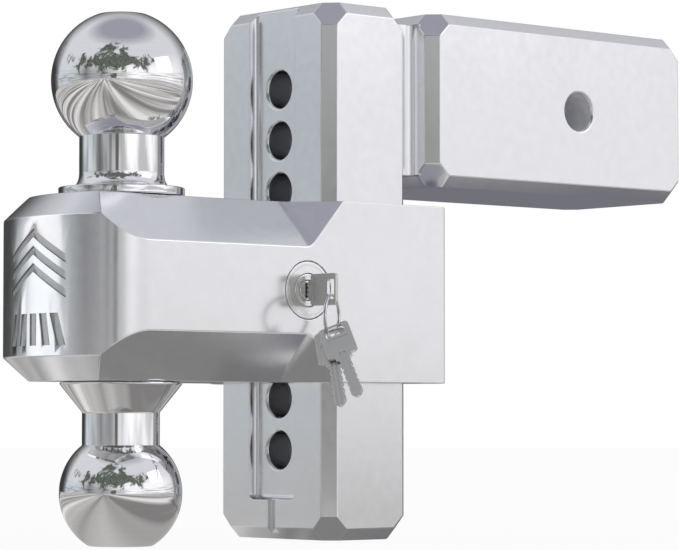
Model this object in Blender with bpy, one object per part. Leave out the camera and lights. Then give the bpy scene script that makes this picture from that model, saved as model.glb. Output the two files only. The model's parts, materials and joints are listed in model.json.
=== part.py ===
"""Adjustable drop hitch: a 3 inch drawbar, a ball mount that slides on its upright bar, a large ball
above and a small ball below, and a key lock whose rack drives two locking pins into the bar.

Frame: metres, +Z up. The origin is the centre of the hitch pin hole, on the shank's axis. +X points
to the towing vehicle, -X to the balls, and the lock is on the -Y side. The ball mount has a frame of
its own: X from the ball axis, Y from the mid plane, Z from its mid height. It rests unlocked, with
the key in and both locking pins withdrawn."""

import math

import bmesh
import bpy
from mathutils import Matrix, Vector

MM = 0.001
BIG = 500 * MM  # longer than anything here, for cutters that run right through

# Gaps between touching pieces
FIT_GAP = 0.3 * MM  # between pieces that rest on or fit in each other
SLIDE_GAP = 0.3 * MM  # between the ball mount and the bar
RUN_GAP = 0.5 * MM  # between the ball mount and the front of the shank

# Drawbar
SHANK_SIDE = 76.2 * MM
SHANK_REAR = 69.85 * MM  # hitch pin to the end of the shank
BALL_TO_PIN = 228.6 * MM
BALL_TO_BAR = 80.0 * MM
BAR_WIDTH = 76.2 * MM
BAR_THICK = 46.5 * MM
BAR_LENGTH = 228.6 * MM
NECK_LENGTH = 12.3 * MM
NECK_WIDTH = 50.0 * MM
NECK_FILLET = 4.5 * MM
EDGE_CHAMFER = 5.0 * MM
CORNER_CUT = 5.0 * MM
PIN_HOLE_DIA = 16.7 * MM
HOLE_RIM = 1.0 * MM  # chamfer round each hole

# Channel, drain and height holes in the front of the bar
CHANNEL_WIDTH = 30.2 * MM
CHANNEL_DEPTH = 4.0 * MM
CHANNEL_ROUND = 2.5 * MM
CHANNEL_FLOOR = 16.8 * MM  # end of the channel above the bottom of the bar
DRAIN_WIDTH = 4.8 * MM
DRAIN_DEPTH = 2.5 * MM
HOLE_COUNT = 8
HOLE_PITCH = 22.225 * MM
HOLE_DIA = 15.9 * MM
HOLE_DEPTH = 26.0 * MM
LOWEST_HOLE = 38.1 * MM  # above the bottom of the bar
MOUNT_HOLE = 3  # the mount's mid height rests level with this hole, counted up from 0

# Ball mount
SIDE_WALL = 6.05 * MM  # beside the slot that the bar slides in
MOUNT_HEIGHT = 76.2 * MM
NOSE_FRONT = 44.3 * MM  # from the ball axis
NOSE_RADIUS = 70.0 * MM
NOSE_CORNER = 20.6 * MM
NOSE_CHAMFER = 9.7 * MM
SIDE_CUT = 20.0 * MM  # 45 degree cut along the upper and lower edge of each side
SIDE_CUT_END = 65.2 * MM  # from the ball axis
SIDE_CUT_RAMP = 1.25  # run of the cut's end for each unit of its depth
SIDE_CUT_ROUND = 8.0 * MM
REAR_ROUND = 2.5 * MM
LIP_ROUND = 4.0 * MM
LIP_OVERHANG = 3.0 * MM  # how far the lips reach past the front of the shank, beside its chamfers

# Balls
LARGE_BALL_DIA = 58.74 * MM
LARGE_BALL_RISE = 48.45 * MM  # centre above the top of the mount
LARGE_NECK_DIA = 35.2 * MM
LARGE_FLAT = 27.8 * MM  # centre to the flat on top
FLANGE_DIA = 52.3 * MM
FLANGE_THICK = 3.6 * MM
FLANGE_EDGE = 0.6 * MM
FLANGE_ROOT_DIA = 42.2 * MM
FLANGE_ROOT_RISE = 6.0 * MM
SMALL_BALL_DIA = 50.8 * MM
SMALL_BALL_DROP = 45.9 * MM  # centre below the bottom of the mount
SMALL_NECK_DIA = 32.1 * MM
SMALL_FLAT = 21.8 * MM
CONE_DIA = 50.6 * MM
CONE_LENGTH = 12.4 * MM
CONE_EDGE = 0.8 * MM
STUD_DIA = 25.4 * MM
STUD_IN_SMALL_BALL = 22.0 * MM
STUD_CHAMFER = 1.5 * MM
WASHER_DIA = 44.0 * MM
WASHER_THICK = 3.4 * MM

# Lock, round an axis along Y
LOCK_TO_BALL = 63.7 * MM
CARTRIDGE_DIA = 24.0 * MM
CARTRIDGE_LENGTH = 25.6 * MM
CARTRIDGE_WALL = 2.5 * MM  # behind the lock cylinder
CYLINDER_DIA = 13.8 * MM
PLUG_DIA = 8.3 * MM
PLUG_LENGTH = 21.9 * MM
FACE_STEP = 0.15 * MM  # each ring of the lock sits this much further in
TAIL_SIDE = 4.0 * MM
TAIL_HOLE_DIA = 7.0 * MM
KEYWAY = (2.5 * MM, 5.8 * MM)
WAFER_COUNT = 5
WAFER_PITCH = 3.5 * MM
FIRST_WAFER = 3.6 * MM  # in from the face of the mount
WAFER_SIZE = (4.2 * MM, 0.9 * MM, 7.0 * MM)
WAFER_WALL = 0.7 * MM

# Pin drive
TRAVEL = 10.0 * MM
PINION_TEETH = 16
PITCH_RADIUS = TRAVEL / (math.pi / 2)  # a quarter turn moves the carriage its whole travel
PRESSURE_ANGLE = math.radians(20.0)
BACKLASH = 0.25 * MM
DRIVE_FACE = (0.8 * MM, 7.6 * MM)  # the pinion and the rack lie between these places on Y
CARRIAGE_TO_LOCK = 22.0 * MM  # rear of the carriage to the lock axis, with the pins withdrawn
CARRIAGE_THICK = 8.0 * MM
CARRIAGE_HALF_WIDTH = 8.0 * MM
JOIN_INSET = 0.3 * MM  # the carriage's middle pieces lie this far inside its end blocks
CARRIAGE_END = (7.725 * MM, 8.275 * MM)  # each end block, from its pin's axis inwards and outwards
CROSSBAR = (-7.6 * MM, -0.4 * MM)  # the thin middle of the carriage, on Y
RACK_TO_PIN = 2.1 * MM  # the back of the rack lies this far below the upper pin
PIN_DIA = 15.2 * MM
PIN_REACH = 1.5 * MM  # withdrawn, each pin stands this far in the channel
PIN_CHAMFER = 1.2 * MM
POCKET_GAP = 1.5 * MM
GUIDE_THICK = 15.0 * MM
GUIDE_WIDTH = 34.0 * MM
GUIDE_HEIGHT = 70.0 * MM
GUIDE_BORE_DIA = 15.9 * MM

# Screws
SCREW_DIA = 4.0 * MM
SCREW_HOLE_DIA = 4.6 * MM
HEAD_DIA = 7.0 * MM
HEAD_HOLE_DIA = 7.8 * MM
HEAD_HEIGHT = 4.0 * MM
SOCKET_DIA = 3.6 * MM
SOCKET_DEPTH = 2.4 * MM
GUIDE_SCREW_AT = (12.2 * MM, 7.4 * MM)  # beside and beyond the nearest pin's axis
GUIDE_SCREW_LENGTH = 24.0 * MM
PIN_SCREW_LENGTH = 15.0 * MM
SET_SCREW_DIA = 5.4 * MM
SET_SCREW_DEPTH = 13.0 * MM  # from the side of the mount
PINION_SCREW_DIA = 1.9 * MM
PINION_SCREW_LENGTH = 7.0 * MM
PINION_HEAD = (6.4 * MM, 1.1 * MM)

# Keys and ring
KEY_THICK = 1.5 * MM
BLADE_HEIGHT = 5.0 * MM
BLADE_LENGTH = 20.8 * MM
BLADE_NOTCH = 0.7 * MM
NOTCH_COUNT = 5
KEY_STAND_OFF = 0.4 * MM  # shoulder of the key to the side of the mount
KEY_NECK = (1.6 * MM, 7.2 * MM)
BOW_LENGTH = 16.3 * MM
BOW_HEIGHT = 13.2 * MM
BOW_ROUND = 1.8 * MM
BOW_SLOT = (4.4 * MM, 8.2 * MM)
SLOT_INSET = 1.1 * MM  # from the end of the bow
RING_RADIUS = 9.0 * MM
WIRE_RADIUS = 0.7 * MM
RING_PLAY = 1.0 * MM  # below the wire in the slot of the key in the lock
RING_TURN = math.radians(31.0)
SPARE_LEAN = math.radians(33.0)  # the spare keys lie this far round the ring from its lowest point
SPARE_SPACING = 2.1 * MM  # between the middles of the spare keys
SPARE_PLAY = 0.4 * MM
SPARES = {  # tilt about the wire, and the shift of the slot's middle from the wire
    "spare_key_front": (math.radians(27.0), 2.9 * MM),
    "spare_key_back": (math.radians(18.0), 0.5 * MM),
}

ROUND_SIDES = 24
BALL_SIDES = 36

# Places worked out from the sizes above
SHANK_HALF = SHANK_SIDE / 2
BAR_TOP = SHANK_HALF
BAR_BOTTOM = BAR_TOP - BAR_LENGTH
BALL_AXIS_X = -BALL_TO_PIN
BAR_FRONT = BALL_AXIS_X + BALL_TO_BAR
BAR_REAR = BAR_FRONT + BAR_THICK
SHANK_FRONT = BAR_REAR + NECK_LENGTH
MOUNT_MID_Z = BAR_BOTTOM + LOWEST_HOLE + MOUNT_HOLE * HOLE_PITCH
MOUNT_ORIGIN = Vector((BALL_AXIS_X, 0, MOUNT_MID_Z))
HALF_WIDTH = BAR_WIDTH / 2 + SLIDE_GAP + SIDE_WALL
HALF_HEIGHT = MOUNT_HEIGHT / 2
SLOT_FRONT = BALL_TO_BAR - SLIDE_GAP
SLOT_REAR = BALL_TO_BAR + BAR_THICK + SLIDE_GAP
SHANK_PLACE = BALL_TO_BAR + BAR_THICK + NECK_LENGTH
MOUNT_REAR = SHANK_PLACE + LIP_OVERHANG
CARRIAGE_REAR = LOCK_TO_BALL - CARRIAGE_TO_LOCK
GUIDE_REAR = SLOT_FRONT - FIT_GAP - GUIDE_THICK
CARRIAGE_FRONT = CARRIAGE_REAR + CARRIAGE_THICK
POCKET_HALF = CARRIAGE_HALF_WIDTH + POCKET_GAP
LOCK_FACE = -HALF_WIDTH
CARTRIDGE_REAR = LOCK_FACE + CARTRIDGE_LENGTH
PLUG_REAR = LOCK_FACE + 2 * FACE_STEP + PLUG_LENGTH
MODULE = 2 * PITCH_RADIUS / PINION_TEETH
ADDENDUM = 0.85 * MODULE
DEDENDUM = 1.15 * MODULE
RACK_BACK = HOLE_PITCH - PIN_DIA / 2 - RACK_TO_PIN
END_INNER = HOLE_PITCH - CARRIAGE_END[0]
END_OUTER = HOLE_PITCH + CARRIAGE_END[1]


# Materials


def make_material(name, colour, roughness, metallic):
    material = bpy.data.materials.new(name)
    material.diffuse_color = (*colour, 1)
    material.use_nodes = True
    shader = material.node_tree.nodes["Principled BSDF"]
    shader.inputs["Base Color"].default_value = (*colour, 1)
    shader.inputs["Roughness"].default_value = roughness
    shader.inputs["Metallic"].default_value = metallic
    return material


# Mesh helpers


def mesh_object(name, mesh_edit, material=None):
    """Turn a bmesh into an object in the scene."""
    bmesh.ops.recalc_face_normals(mesh_edit, faces=mesh_edit.faces)
    mesh = bpy.data.meshes.new(name)
    mesh_edit.to_mesh(mesh)
    mesh_edit.free()
    item = bpy.data.objects.new(name, mesh)
    bpy.context.scene.collection.objects.link(item)
    if material:
        mesh.materials.append(material)
    return item


def box(name, low, high, material=None):
    edit = bmesh.new()
    size = [b - a for a, b in zip(low, high)]
    middle = [(a + b) / 2 for a, b in zip(low, high)]
    matrix = Matrix.Translation(middle) @ Matrix.Diagonal((*size, 1))
    bmesh.ops.create_cube(edit, size=1, matrix=matrix)
    return mesh_object(name, edit, material)


def chamfered_box(name, low, high, material=None):
    """A box whose edges are cut at 45 degrees and whose corners are cut once more."""
    centre = [(a + b) / 2 for a, b in zip(low, high)]
    half = [(b - a) / 2 for a, b in zip(low, high)]
    edit = bmesh.new()
    for axis in range(3):
        others = [k for k in range(3) if k != axis]
        for inset in ((0, CORNER_CUT), (CORNER_CUT, 0)):
            for signs in range(8):
                point = [0, 0, 0]
                point[axis] = half[axis] * (1 if signs & 1 else -1)
                for k, other in enumerate(others):
                    reach = half[other] - EDGE_CHAMFER - inset[k]
                    point[other] = reach * (1 if signs & (2 << k) else -1)
                edit.verts.new([c + p for c, p in zip(centre, point)])
    hull = bmesh.ops.convex_hull(edit, input=edit.verts)
    spare = [v for v in hull["geom_interior"] if isinstance(v, bmesh.types.BMVert)]
    bmesh.ops.delete(edit, geom=spare, context="VERTS")
    bmesh.ops.dissolve_limit(edit, angle_limit=0.01, verts=edit.verts, edges=edit.edges)
    return mesh_object(name, edit, material)


def loft(name, outlines, material=None):
    """Join closed outlines of equally many points, one above the other, and cap both ends."""
    edit = bmesh.new()
    rows = [[edit.verts.new(point) for point in outline] for outline in outlines]
    count = len(rows[0])
    edit.faces.new(rows[0])
    edit.faces.new(reversed(rows[-1]))
    for lower, upper in zip(rows, rows[1:]):
        for k in range(count):
            near = (k + 1) % count
            edit.faces.new((lower[k], lower[near], upper[near], upper[k]))
    return mesh_object(name, edit, material)


def prism(name, outline, axis, start, end, material=None):
    """Extrude an outline along X, Y or Z. Its points are the two other places, in XYZ order."""
    k = "XYZ".index(axis)
    rows = [[(*pair[:k], height, *pair[k:]) for pair in outline] for height in (start, end)]
    return loft(name, rows, material)


def turn(name, profile, axis="Z", at=(0, 0, 0), sides=ROUND_SIDES, material=None, ring=False):
    """Turn a profile of (radius, height) points round an axis. A ring's profile closes on itself."""
    edit = bmesh.new()
    rows = []
    for radius, height in profile:
        if radius == 0:
            rows.append([edit.verts.new((0, 0, height))] * sides)
            continue
        angles = [math.tau * (k + 0.5) / sides for k in range(sides)]
        rows.append([edit.verts.new((radius * math.cos(a), radius * math.sin(a), height)) for a in angles])
    if ring:
        rows.append(rows[0])
    for lower, upper in zip(rows, rows[1:]):
        for k in range(sides):
            near = (k + 1) % sides
            corners = list(dict.fromkeys((lower[k], lower[near], upper[near], upper[k])))
            if len(corners) > 2:
                edit.faces.new(corners)
    turned = {"X": Matrix.Rotation(math.pi / 2, 4, "Y"), "Y": Matrix.Rotation(-math.pi / 2, 4, "X")}
    matrix = Matrix.Translation(at) @ turned.get(axis, Matrix.Identity(4))
    bmesh.ops.transform(edit, matrix=matrix, verts=edit.verts)
    return mesh_object(name, edit, material)


def rod(name, diameter, start, end, axis="Z", at=(0, 0, 0), chamfer=0, material=None, sides=ROUND_SIDES):
    """A round bar from start to end along an axis, with an optional chamfer at its far end."""
    radius = diameter / 2
    profile = [(0, start), (radius, start)]
    if chamfer:
        away = math.copysign(chamfer, end - start)
        profile += [(radius, end - away), (radius - chamfer, end)]
    else:
        profile += [(radius, end)]
    profile += [(0, end)]
    return turn(name, profile, axis, at, sides, material)


def arc(centre, radius, first, last, steps):
    """Points of an arc between two angles in degrees."""
    points = []
    for k in range(steps + 1):
        angle = math.radians(first + (last - first) * k / steps)
        points.append((centre[0] + radius * math.cos(angle), centre[1] + radius * math.sin(angle)))
    return points


def apply_modifiers(item):
    """Keep the shape that an object's modifiers give it, and drop the modifiers."""
    depsgraph = bpy.context.evaluated_depsgraph_get()
    mesh = bpy.data.meshes.new_from_object(item.evaluated_get(depsgraph))
    old = item.data
    item.modifiers.clear()
    item.data = mesh
    mesh.name = item.name
    bpy.data.meshes.remove(old)


def combine(item, tools, operation="DIFFERENCE"):
    """Cut tools from an object, or join them to it, and remove them."""
    for tool in tools:
        modifier = item.modifiers.new(operation.title(), "BOOLEAN")
        modifier.operation = operation
        modifier.solver = "EXACT"
        modifier.object = tool
    apply_modifiers(item)
    for tool in tools:
        bpy.data.objects.remove(tool)
    return item


def round_edges(item, width, segments=2):
    modifier = item.modifiers.new("Round", "BEVEL")
    modifier.width = width
    modifier.segments = segments
    apply_modifiers(item)
    return item


def smooth(item):
    item.data.shade_smooth()
    item.data.set_sharp_from_angle(angle=math.radians(30))
    return item


def make_empty(name, parent=None, location=(0, 0, 0), rotation=(0, 0, 0)):
    empty = bpy.data.objects.new(name, None)
    empty.empty_display_size = 10 * MM
    bpy.context.scene.collection.objects.link(empty)
    return place(empty, parent, location, rotation)


def place(item, parent=None, location=(0, 0, 0), rotation=(0, 0, 0)):
    item.parent = parent
    item.location = location
    item.rotation_euler = rotation
    return item


# Drawbar


def neck_outline():
    """The neck from above, with a concave round where it meets the bar and the shank."""
    half = NECK_WIDTH / 2
    outer = half + NECK_FILLET
    bury = EDGE_CHAMFER
    side = [(BAR_REAR - bury, outer)]
    side += arc((BAR_REAR + NECK_FILLET, outer), NECK_FILLET, 180, 270, 4)
    side += arc((SHANK_FRONT - NECK_FILLET, outer), NECK_FILLET, 270, 360, 4)
    side += [(SHANK_FRONT + bury, outer)]
    return side + [(x, -y) for x, y in reversed(side)]


def rimmed_hole(name, diameter, mouth, depth, axis, at, way=1):
    """A cutter for a blind hole whose mouth is chamfered. It starts outside the mouth."""
    radius = diameter / 2
    wide = radius + HOLE_RIM
    profile = [
        (0, mouth - way * HOLE_RIM),
        (wide, mouth - way * HOLE_RIM),
        (wide, mouth),
        (radius, mouth + way * HOLE_RIM),
        (radius, mouth + way * depth),
        (0, mouth + way * depth),
    ]
    return turn(name, profile, axis, at)


def make_drawbar(material):
    half = BAR_WIDTH / 2
    drawbar = chamfered_box(
        "drawbar", (BAR_FRONT, -half, BAR_BOTTOM), (BAR_REAR, half, BAR_TOP), material
    )
    shank = chamfered_box(
        "shank", (SHANK_FRONT, -SHANK_HALF, -SHANK_HALF), (SHANK_REAR, SHANK_HALF, SHANK_HALF)
    )
    neck = prism("neck", neck_outline(), "Z", EDGE_CHAMFER - SHANK_HALF, SHANK_HALF - EDGE_CHAMFER)
    combine(drawbar, [shank, neck], "UNION")

    channel = box(
        "channel",
        (BAR_FRONT - CHANNEL_WIDTH, -CHANNEL_WIDTH / 2, BAR_BOTTOM + CHANNEL_FLOOR),
        (BAR_FRONT + CHANNEL_DEPTH, CHANNEL_WIDTH / 2, BAR_TOP + CHANNEL_WIDTH),
    )
    round_edges(channel, CHANNEL_ROUND)
    drain = box(
        "drain",
        (BAR_FRONT - DRAIN_WIDTH, -DRAIN_WIDTH / 2, BAR_BOTTOM - DRAIN_WIDTH),
        (BAR_FRONT + DRAIN_DEPTH, DRAIN_WIDTH / 2, BAR_BOTTOM + CHANNEL_FLOOR + DRAIN_WIDTH),
    )
    cutters = [channel, drain]
    for k in range(HOLE_COUNT):
        centre = (0, 0, BAR_BOTTOM + LOWEST_HOLE + k * HOLE_PITCH)
        floor = BAR_FRONT + CHANNEL_DEPTH
        cutters.append(rimmed_hole("hole", HOLE_DIA, floor, HOLE_DEPTH, "X", centre))
    for way in (1, -1):
        mouth = -way * SHANK_HALF
        cutters.append(rimmed_hole("pin_hole", PIN_HOLE_DIA, mouth, SHANK_HALF, "Y", (0, 0, 0), way))
    combine(drawbar, cutters)
    return smooth(drawbar)


# Ball mount


def side_cutter(side, level):
    """The cut along one long edge: a plane at 45 degrees that ends in a round and a ramp."""
    bend = math.atan(1 / SIDE_CUT_RAMP)
    tangent = SIDE_CUT_ROUND * math.tan(bend / 2)
    depth = SIDE_CUT * 2
    swing = math.degrees(bend)
    round_part = arc((SIDE_CUT_END - tangent, SIDE_CUT_ROUND), SIDE_CUT_ROUND, -90, swing - 90, 6)
    ramp_end = (SIDE_CUT_END + depth * SIDE_CUT_RAMP, depth)
    outline = [(-BALL_TO_BAR, 0), *round_part, ramp_end, (-BALL_TO_BAR, depth)]
    cutter = prism("side_cutter", outline, "Y", -depth, depth)
    rest = Vector((0, side * (HALF_WIDTH - SIDE_CUT / 2), level * (HALF_HEIGHT - SIDE_CUT / 2)))
    lean = math.atan2(side, level)
    cutter.data.transform(Matrix.Translation(rest) @ Matrix.Rotation(-lean, 4, "X"))
    return cutter


def lip_slot():
    """The opening between the rear lips, seen from above, that the neck passes through."""
    half = NECK_WIDTH / 2 + SLIDE_GAP
    rear = SHANK_PLACE - RUN_GAP
    chamfer_start = SHANK_HALF - EDGE_CHAMFER
    beyond = 2 * LIP_OVERHANG
    side = [(SLOT_REAR - LIP_ROUND, half + LIP_ROUND)]
    side += arc((SLOT_REAR + LIP_ROUND, half + LIP_ROUND), LIP_ROUND, 180, 270, 4)
    side += arc((rear - LIP_ROUND, half + LIP_ROUND), LIP_ROUND, 270, 360, 4)
    side += [(rear, chamfer_start), (rear + beyond, chamfer_start + beyond)]
    return side + [(x, -y) for x, y in reversed(side)]


def nose_outline(inset):
    """The nose from above: a shallow front arc, two corner arcs and the sides, all moved in by inset."""
    front_x = NOSE_RADIUS - NOSE_FRONT
    corner_y = HALF_WIDTH - NOSE_CORNER
    corner_x = front_x - math.sqrt((NOSE_RADIUS - NOSE_CORNER) ** 2 - corner_y**2)
    join = math.degrees(math.atan2(corner_y, corner_x - front_x))
    half = [(0, HALF_WIDTH - inset)]
    half += arc((corner_x, corner_y), NOSE_CORNER - inset, 90, join, 14)
    half += arc((front_x, 0), NOSE_RADIUS - inset, join, 180, 8)[1:]
    return half + [(x, -y) for x, y in reversed(half[:-1])]


def mount_body(material):
    """The chamfered nose and the square body behind it."""
    rows = []
    for inset, level in ((NOSE_CHAMFER, -1), (0, -1), (0, 1), (NOSE_CHAMFER, 1)):
        height = level * (HALF_HEIGHT - NOSE_CHAMFER + inset)
        rows.append([(x, y, height) for x, y in nose_outline(inset)])
    body = loft("ball_mount", rows, material)
    lateral = HALF_WIDTH - REAR_ROUND
    rear = arc((MOUNT_REAR - REAR_ROUND, lateral), REAR_ROUND, 90, 0, 2)
    outline = [(0, HALF_WIDTH), *rear, *[(x, -y) for x, y in reversed(rear)], (0, -HALF_WIDTH)]
    return combine(body, [prism("rear", outline, "Z", -HALF_HEIGHT, HALF_HEIGHT)], "UNION")


def pocket_cutters():
    """The pocket for the pin drive, open towards the bar, and the recess of the pin guide."""
    height = END_OUTER + POCKET_GAP
    pocket_low = (CARRIAGE_REAR - POCKET_GAP, -POCKET_HALF, -height)
    recess_half = GUIDE_WIDTH / 2 + FIT_GAP
    recess_height = GUIDE_HEIGHT / 2 + FIT_GAP
    recess_low = (GUIDE_REAR - FIT_GAP, -recess_half, -recess_height)
    return [
        box("pocket", pocket_low, (SLOT_FRONT, POCKET_HALF, height)),
        box("recess", recess_low, (SLOT_FRONT + BALL_TO_BAR / 4, recess_half, recess_height)),
    ]


def make_ball_mount(material, frame):
    mount = mount_body(material)
    cutters = [side_cutter(side, level) for side in (-1, 1) for level in (-1, 1)]
    slot_half = BAR_WIDTH / 2 + SLIDE_GAP
    cutters.append(box("slot", (SLOT_FRONT, -slot_half, -BIG), (SLOT_REAR, slot_half, BIG)))
    cutters.append(prism("lip_slot", lip_slot(), "Z", -BIG, BIG))
    cutters += pocket_cutters()
    cutters.append(rod("stud_bore", STUD_DIA + 4 * FIT_GAP, -BIG, BIG))
    washer_seat = HALF_HEIGHT - WASHER_THICK - 2 * FIT_GAP
    cutters.append(rod("washer_seat", WASHER_DIA + 4 * FIT_GAP, -BIG, -washer_seat))

    lock = (LOCK_TO_BALL, 0, 0)
    lock_bore = (LOCK_FACE - BAR_WIDTH, CARTRIDGE_REAR + FIT_GAP)
    cutters.append(rod("lock_bore", CARTRIDGE_DIA + 2 * FIT_GAP, *lock_bore, "Y", lock))
    cutters.append(rod("tail_bore", TAIL_HOLE_DIA, CARTRIDGE_REAR, 0, "Y", lock))
    set_hole = (0, LOCK_FACE + SET_SCREW_DEPTH, 0)
    cutters.append(rod("set_hole", SET_SCREW_DIA + 2 * FIT_GAP, LOCK_TO_BALL, BALL_TO_BAR, "X", set_hole))
    for y, z in guide_screw_places():
        start = SLOT_FRONT - FIT_GAP - HEAD_HEIGHT - GUIDE_SCREW_LENGTH - FIT_GAP * 5
        cutters.append(rod("screw_hole", SCREW_HOLE_DIA, start, BALL_TO_BAR, "X", (0, y, z), sides=12))
    combine(mount, cutters)
    smooth(mount)
    return place(mount, frame)


# Balls


def ball_profile(radius, flat, neck_radius, steps):
    """From the flat round to where the neck meets the ball, with the ball's centre at 0."""
    first = math.degrees(math.asin(flat / radius))
    last = -math.degrees(math.acos(neck_radius / radius))
    return [(0, flat), *arc((0, 0), radius, first, last, steps)]


def make_large_ball(material, frame):
    radius = LARGE_BALL_DIA / 2
    neck = LARGE_NECK_DIA / 2
    seat = FIT_GAP
    stud = STUD_DIA / 2
    end = -MOUNT_HEIGHT - FIT_GAP - STUD_IN_SMALL_BALL
    root = FLANGE_ROOT_DIA / 2 - neck
    profile = [(r, z + LARGE_BALL_RISE) for r, z in ball_profile(radius, LARGE_FLAT, neck, 16)]
    fillet = arc((1, 1), 1, 180, 270, 4)
    profile += [
        (neck + root * x, seat + FLANGE_THICK + FLANGE_ROOT_RISE * z) for x, z in fillet
    ]
    profile += [
        (FLANGE_DIA / 2 - FLANGE_EDGE, seat + FLANGE_THICK),
        (FLANGE_DIA / 2, seat + FLANGE_THICK - FLANGE_EDGE),
        (FLANGE_DIA / 2, seat),
        (stud, seat),
        (stud, end + STUD_CHAMFER),
        (stud - STUD_CHAMFER, end),
        (0, end),
    ]
    top = [(r, z + HALF_HEIGHT) for r, z in reversed(profile)]
    ball = turn("large_ball", top, sides=BALL_SIDES, material=material)
    return place(smooth(ball), frame)


def make_small_ball(material, frame):
    radius = SMALL_BALL_DIA / 2
    neck = SMALL_NECK_DIA / 2
    bore = STUD_DIA / 2 + FIT_GAP
    seat = -HALF_HEIGHT - FIT_GAP
    depth = seat - STUD_IN_SMALL_BALL - 4 * FIT_GAP
    profile = [(r, -z - HALF_HEIGHT - SMALL_BALL_DROP) for r, z in ball_profile(radius, SMALL_FLAT, neck, 14)]
    profile += [
        (neck, seat - CONE_LENGTH),
        (CONE_DIA / 2, seat - CONE_EDGE),
        (CONE_DIA / 2, seat),
        (bore + STUD_CHAMFER, seat),
        (bore, seat - STUD_CHAMFER),
        (bore, depth),
        (0, depth),
    ]
    ball = turn("small_ball", profile, sides=BALL_SIDES, material=material)
    return place(smooth(ball), frame)


def make_washer(material, frame):
    inner = STUD_DIA / 2 + 2 * FIT_GAP
    outer = WASHER_DIA / 2
    low = -HALF_HEIGHT + FIT_GAP
    high = low + WASHER_THICK
    profile = [(inner, low), (outer, low), (outer, high), (inner, high)]
    washer = turn("lock_washer", profile, material=material, ring=True)
    return place(smooth(washer), frame)


# Screws


def screw_profile(length, head_dia, head_height, shank_dia):
    """A cap screw whose head ends at 0 and whose tip points down."""
    return [
        (0, -head_height - length),
        (shank_dia / 2, -head_height - length),
        (shank_dia / 2, -head_height),
        (head_dia / 2, -head_height),
        (head_dia / 2, 0),
        (0, 0),
    ]


def counterbore(hole_end, seat, open_end, at):
    """A cutter along X for a screw and its head, from the end of its hole to beyond the head."""
    hole = SCREW_HOLE_DIA / 2
    head = HEAD_HOLE_DIA / 2
    profile = [(0, hole_end), (hole, hole_end), (hole, seat), (head, seat), (head, open_end), (0, open_end)]
    return turn("counterbore", profile, "X", at, sides=12)


def make_screw(name, head_at, way, length, material, parent):
    """A socket cap screw along X. Its tip points to -X where way is 1, and to +X where it is -1."""
    screw = turn(name, screw_profile(length, HEAD_DIA, HEAD_HEIGHT, SCREW_DIA), sides=12, material=material)
    socket = rod("socket", SOCKET_DIA, -SOCKET_DEPTH, HEAD_HEIGHT, sides=6)
    combine(screw, [socket])
    screw.data.transform(Matrix.Rotation(way * math.pi / 2, 4, "Y"))
    return place(smooth(screw), parent, head_at)


def guide_screw_places():
    y, beyond = GUIDE_SCREW_AT
    return [(y * side, (HOLE_PITCH + beyond) * level) for side in (-1, 1) for level in (1, -1)]


def make_pin_guide(steel, dark_steel, frame):
    """The steel block that guides both pins, and the four screws that hold it."""
    front = GUIDE_REAR + GUIDE_THICK
    half = GUIDE_WIDTH / 2
    height = GUIDE_HEIGHT / 2
    guide = box("pin_guide", (GUIDE_REAR, -half, -height), (front, half, height), steel)
    cutters = []
    for level in (-1, 1):
        cutters.append(rod("bore", GUIDE_BORE_DIA, 0, BALL_TO_BAR * 2, "X", (0, 0, level * HOLE_PITCH)))
    seat = front - 2 * FIT_GAP - HEAD_HEIGHT
    for y, z in guide_screw_places():
        cutters.append(counterbore(0, seat, BALL_TO_BAR * 2, (0, y, z)))
    rack_front = rack_reach()[1] + TRAVEL + 2 * FIT_GAP
    rack_top = RACK_BACK + POCKET_GAP
    relief_low = (GUIDE_REAR - BAR_WIDTH, DRIVE_FACE[0] - POCKET_GAP, PITCH_RADIUS - ADDENDUM - POCKET_GAP)
    cutters.append(box("relief", relief_low, (rack_front, DRIVE_FACE[1] + POCKET_GAP, rack_top)))
    pinion_front = LOCK_TO_BALL + PITCH_RADIUS + ADDENDUM + POCKET_GAP
    drive = PITCH_RADIUS + ADDENDUM + POCKET_GAP
    cutters.append(box("drive_relief", (0, -POCKET_HALF, -drive), (pinion_front, POCKET_HALF, drive)))
    cutters.append(rod("tail", TAIL_HOLE_DIA, -GUIDE_WIDTH, 0, "Y", (LOCK_TO_BALL, 0, 0)))
    combine(guide, cutters)
    place(smooth(guide), frame)
    for k, (y, z) in enumerate(guide_screw_places()):
        head_at = (front - FIT_GAP, y, z)
        make_screw(f"guide_screw_{k + 1}", head_at, 1, GUIDE_SCREW_LENGTH, dark_steel, frame)


# Lock


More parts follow.
